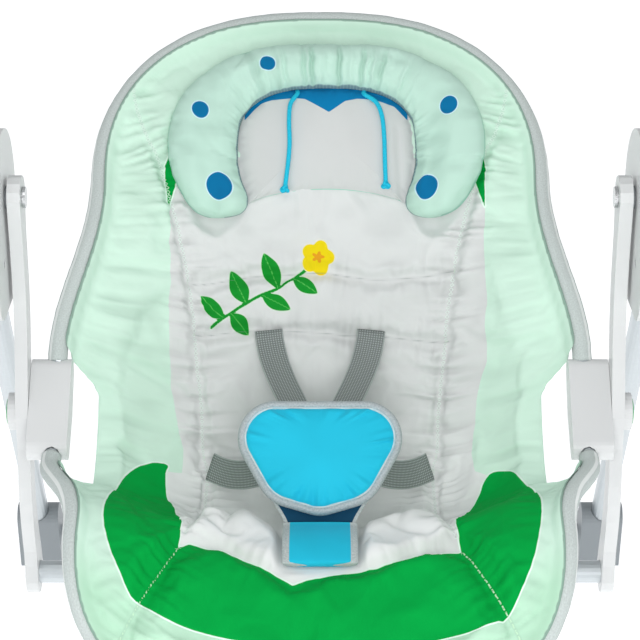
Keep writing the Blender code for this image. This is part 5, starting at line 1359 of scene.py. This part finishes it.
def ribbon(name, path, width, thickness, across, columns=9, crown=0.0, round_edge=0.3):
    """A flat strip along a path, with rounded edges."""
    path = np.asarray(path, float)
    ahead = unit(np.gradient(path, axis=0))
    across = np.asarray(across, float)
    side = unit(across - ahead * (ahead @ across)[:, None])
    out = np.cross(side, ahead)
    share = np.sin(np.linspace(-math.pi / 2, math.pi / 2, columns))
    rim = thickness / 2 * (1 - round_edge * share**8)
    lift = np.concatenate([rim + crown * (1 - share**2), -rim[::-1]])
    half = np.broadcast_to(np.asarray(width, float), (len(path),))[:, None] / 2
    off = np.concatenate([share, share[::-1]]) * half
    points = path[:, None] + side[:, None] * off[..., None] + out[:, None] * lift[:, None]
    sides = 2 * columns
    strip = add_mesh(name, points.reshape(-1, 3), tube_faces(len(path), sides))
    set_place(strip, off, np.repeat(run_of(path), sides))
    set_field(strip, "edge", (half - np.abs(off)).ravel())
    return strip


def webbing_look():
    look = Look("webbing_weave", 0.75, 0.25)
    place = look.field("place", True)
    grid = look.math("MULTIPLY", look.bands(place, 0.0024, "Y"), look.bands(place, 0.0022, "X"))
    # The weave's own over-and-under pattern, drawn with lit and shaded copies of the webbing colour: painted
    # light on the raised threads, painted shade between them.
    colour = look.mix(grid, tone(WEBBING, 0.60), tone(WEBBING, 1.65))
    colour = look.mix(look.band(look.field("edge"), 0.0, 0.0008, 0.0008), colour, tone(WEBBING, 1.4))
    look.set("Base Color", colour)
    look.set("Normal", look.bump(grid, 0.0004, 0.8))
    return look.material


def make_straps():
    material = webbing_look()
    depth = -BELLY_EDGE - GAP - BUCKLE_DEPTH / 2
    top = BUCKLE_HALF_HEIGHT + GAP
    for side_name, side in (("right", 1), ("left", -1)):
        x = side * SHOULDER_X
        first = over_seat(x, 0.300, 0.0050)
        second = over_seat(x * 0.9, 0.345, 0.014)
        across = side * BUCKLE_HALF_WIDTH * 0.5
        bend = on_belly(across * 1.5, top + 0.035, depth - 0.015)
        path = bezier(first, second, bend, on_belly(across, top, depth), 30)
        shoulder = ribbon(f"shoulder_webbing_{side_name}", path, WEBBING_WIDTH, WEBBING_THICKNESS, (1, 0, 0))
        first = over_seat(side * (PANEL_HALF_WIDTH - WEBBING_WIDTH / 4), 0.432, 0.0125)
        second = first - (side * 0.026, 0.026, WEBBING_THICKNESS)
        near = on_belly(side * (BUCKLE_HALF_WIDTH + GAP), 0, depth)
        path = bezier(first, second, near + (side * 0.030, 0.008, -0.016), near, 30)
        waist = ribbon(f"waist_webbing_{side_name}", path, WEBBING_WIDTH, WEBBING_THICKNESS, belly_up)
        for strap, node in ((shoulder, f"shoulder_strap_{side_name}"), (waist, f"waist_strap_{side_name}")):
            dress(strap, material)
            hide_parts(node)


def sleeve_look(name, body, tape_width):
    look = Look(name, 0.75, 0.2, sheen_weight=0.05)
    place = look.field("place", True)
    middle = look.cloudy(place, 25.0, body, 0.9, 1.1)
    inside = look.above(look.field("edge"), tape_width)
    return finish_fabric(look, look.mix(inside, tape_colour(look, place, SLEEVE_TAPE), middle), place)


def make_crotch():
    reach = 0.016 + 0.031 + 2 * GAP
    first, second = over_seat(0, 0.632, -0.003), over_seat(0, 0.606, 0.011)
    path = bezier(first, second, on_belly(0, -reach - 0.015, 0), on_belly(0, -reach - 0.005, 0.0005), 34)
    sleeve = ribbon("crotch_sleeve", path, 0.062, 0.007, (1, 0, 0), 13, 0.001, 0.6)
    ends = ((-0.010, -0.0055), (-0.030, -0.0050), (-0.044, -0.0045), (-reach - 0.014, -0.0040))
    path = bezier(*(on_belly(0, up, out) for up, out in ends), 20)
    width = 0.098 - 0.042 * smooth(np.linspace(0, 1, len(path)))
    neck = ribbon("belly_neck", path, width, 0.003, (1, 0, 0), 13, 0.0, 0.5)
    looks = (sleeve_look("sleeve_cotton", CYAN, 0.0058), sleeve_look("neck_cotton", NAVY, 0.0030))
    for piece, material in zip((sleeve, neck), looks):
        subdivide(piece)
        dress(piece, material)
    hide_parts("crotch_strap")


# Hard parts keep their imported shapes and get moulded, painted or metal finishes

def plastic(name, colour, roughness):
    look = Look(name, roughness)
    place = look.place()
    rub = look.noise(place, 6.0, 3.0)
    look.set("Base Color", look.cloudy(place, 6.0, colour, 0.95, 1.03, 3.0))
    look.set("Roughness", look.math("MULTIPLY_ADD", rub, 0.12, roughness - 0.06))
    look.set("Normal", look.bump(look.noise(place, 600.0), 0.00012, 0.25))
    return look.material


def metal(name, colour, roughness, scratch=80.0):
    look = Look(name, roughness, metallic=1.0)
    drawn = look.scaled(look.place(), (1.0, 8.0, 8.0))
    look.set("Base Color", look.cloudy(drawn, scratch, colour, 0.9, 1.05, 3.0))
    look.set("Roughness", look.math("MULTIPLY_ADD", look.noise(drawn, scratch, 3.0), 0.2, roughness - 0.1))
    return look.material


def finish_hard_parts():
    looks = {
        "white_plastic": plastic("moulded_white", (0.72, 0.73, 0.73), 0.36),
        "grey_plastic": plastic("moulded_grey", (0.30, 0.33, 0.35), 0.45),
        "green_plastic": plastic("moulded_green", (0.01, 0.40, 0.10), 0.34),
        "blue_plastic": plastic("moulded_blue", (0.01, 0.28, 0.55), 0.34),
        "frame_tube": metal("painted_tube", (0.62, 0.66, 0.68), 0.38),
        "steel": metal("plain_steel", (0.62, 0.63, 0.64), 0.28),
        "copper": metal("wound_copper", (0.72, 0.36, 0.18), 0.38, 300.0),
        "board": plastic("board_green", (0.02, 0.20, 0.08), 0.45),
    }
    for part in frame["record"]["subparts"]:
        node = nodes.get(part["node"])
        material = looks.get(part["material_slot"])
        if node is None or material is None:
            continue
        for slot in node.material_slots:
            slot.material = material
        bevel = node.modifiers.new("soft_edges", "BEVEL")
        bevel.width = 0.0005
        bevel.segments = 2
        bevel.limit_method = "ANGLE"
        bevel.angle_limit = math.radians(40)


# Floor and light

LIGHTS = (
    # name, place, size and power
    ("key", (-0.6, -1.1, 2.4), 1.2, 7.5),
    ("front", (0.05, -1.30, 0.74), 0.6, 6.6),
    ("fill", (1.3, -1.2, 1.5), 1.2, 2.5),
)
LIT_PLACE = (0, 0, 0.35)
FLOOR_REACH = 8.0


def make_stage():
    corners = [(x * FLOOR_REACH, y * FLOOR_REACH, 0) for x, y in ((-1, -1), (1, -1), (1, 1), (-1, 1))]
    floor = add_mesh("floor", corners, [(0, 1, 2, 3)], False)
    look = Look("pale_floor", 0.9)
    pale = look.mix(look.noise(look.place(), 3.0), (0.90, 0.91, 0.92), (0.93, 0.93, 0.93))
    look.set("Base Color", pale)
    look.set("Emission Color", pale)
    look.set("Emission Strength", 0.72)
    floor.data.materials.append(look.material)
    world = bpy.data.worlds.new("studio")
    world.use_nodes = True
    sky = world.node_tree.nodes["Background"]
    sky.inputs["Color"].default_value = (0.97, 0.985, 1.0, 1.0)
    sky.inputs["Strength"].default_value = 0.50
    bpy.context.scene.world = world
    bpy.context.scene.view_settings.view_transform = "Standard"
    for name, at, size, power in LIGHTS:
        data = bpy.data.lights.new(name, "AREA")
        data.shape = "DISK"
        data.size = size
        data.energy = power
        lamp = bpy.data.objects.new(name, data)
        lamp.location = at
        aim = Vector(LIT_PLACE) - Vector(at)
        lamp.rotation_euler = aim.to_track_quat("-Z", "Y").to_euler()
        bpy.context.collection.objects.link(lamp)


make_seat_cover()
make_edge_sleeves(binding_look())
make_head_pillow()
make_pillow_insert()
make_belly_pad()
make_straps()
make_crotch()
finish_hard_parts()
make_stage()


def write_sizes():
    import json


write_sizes()
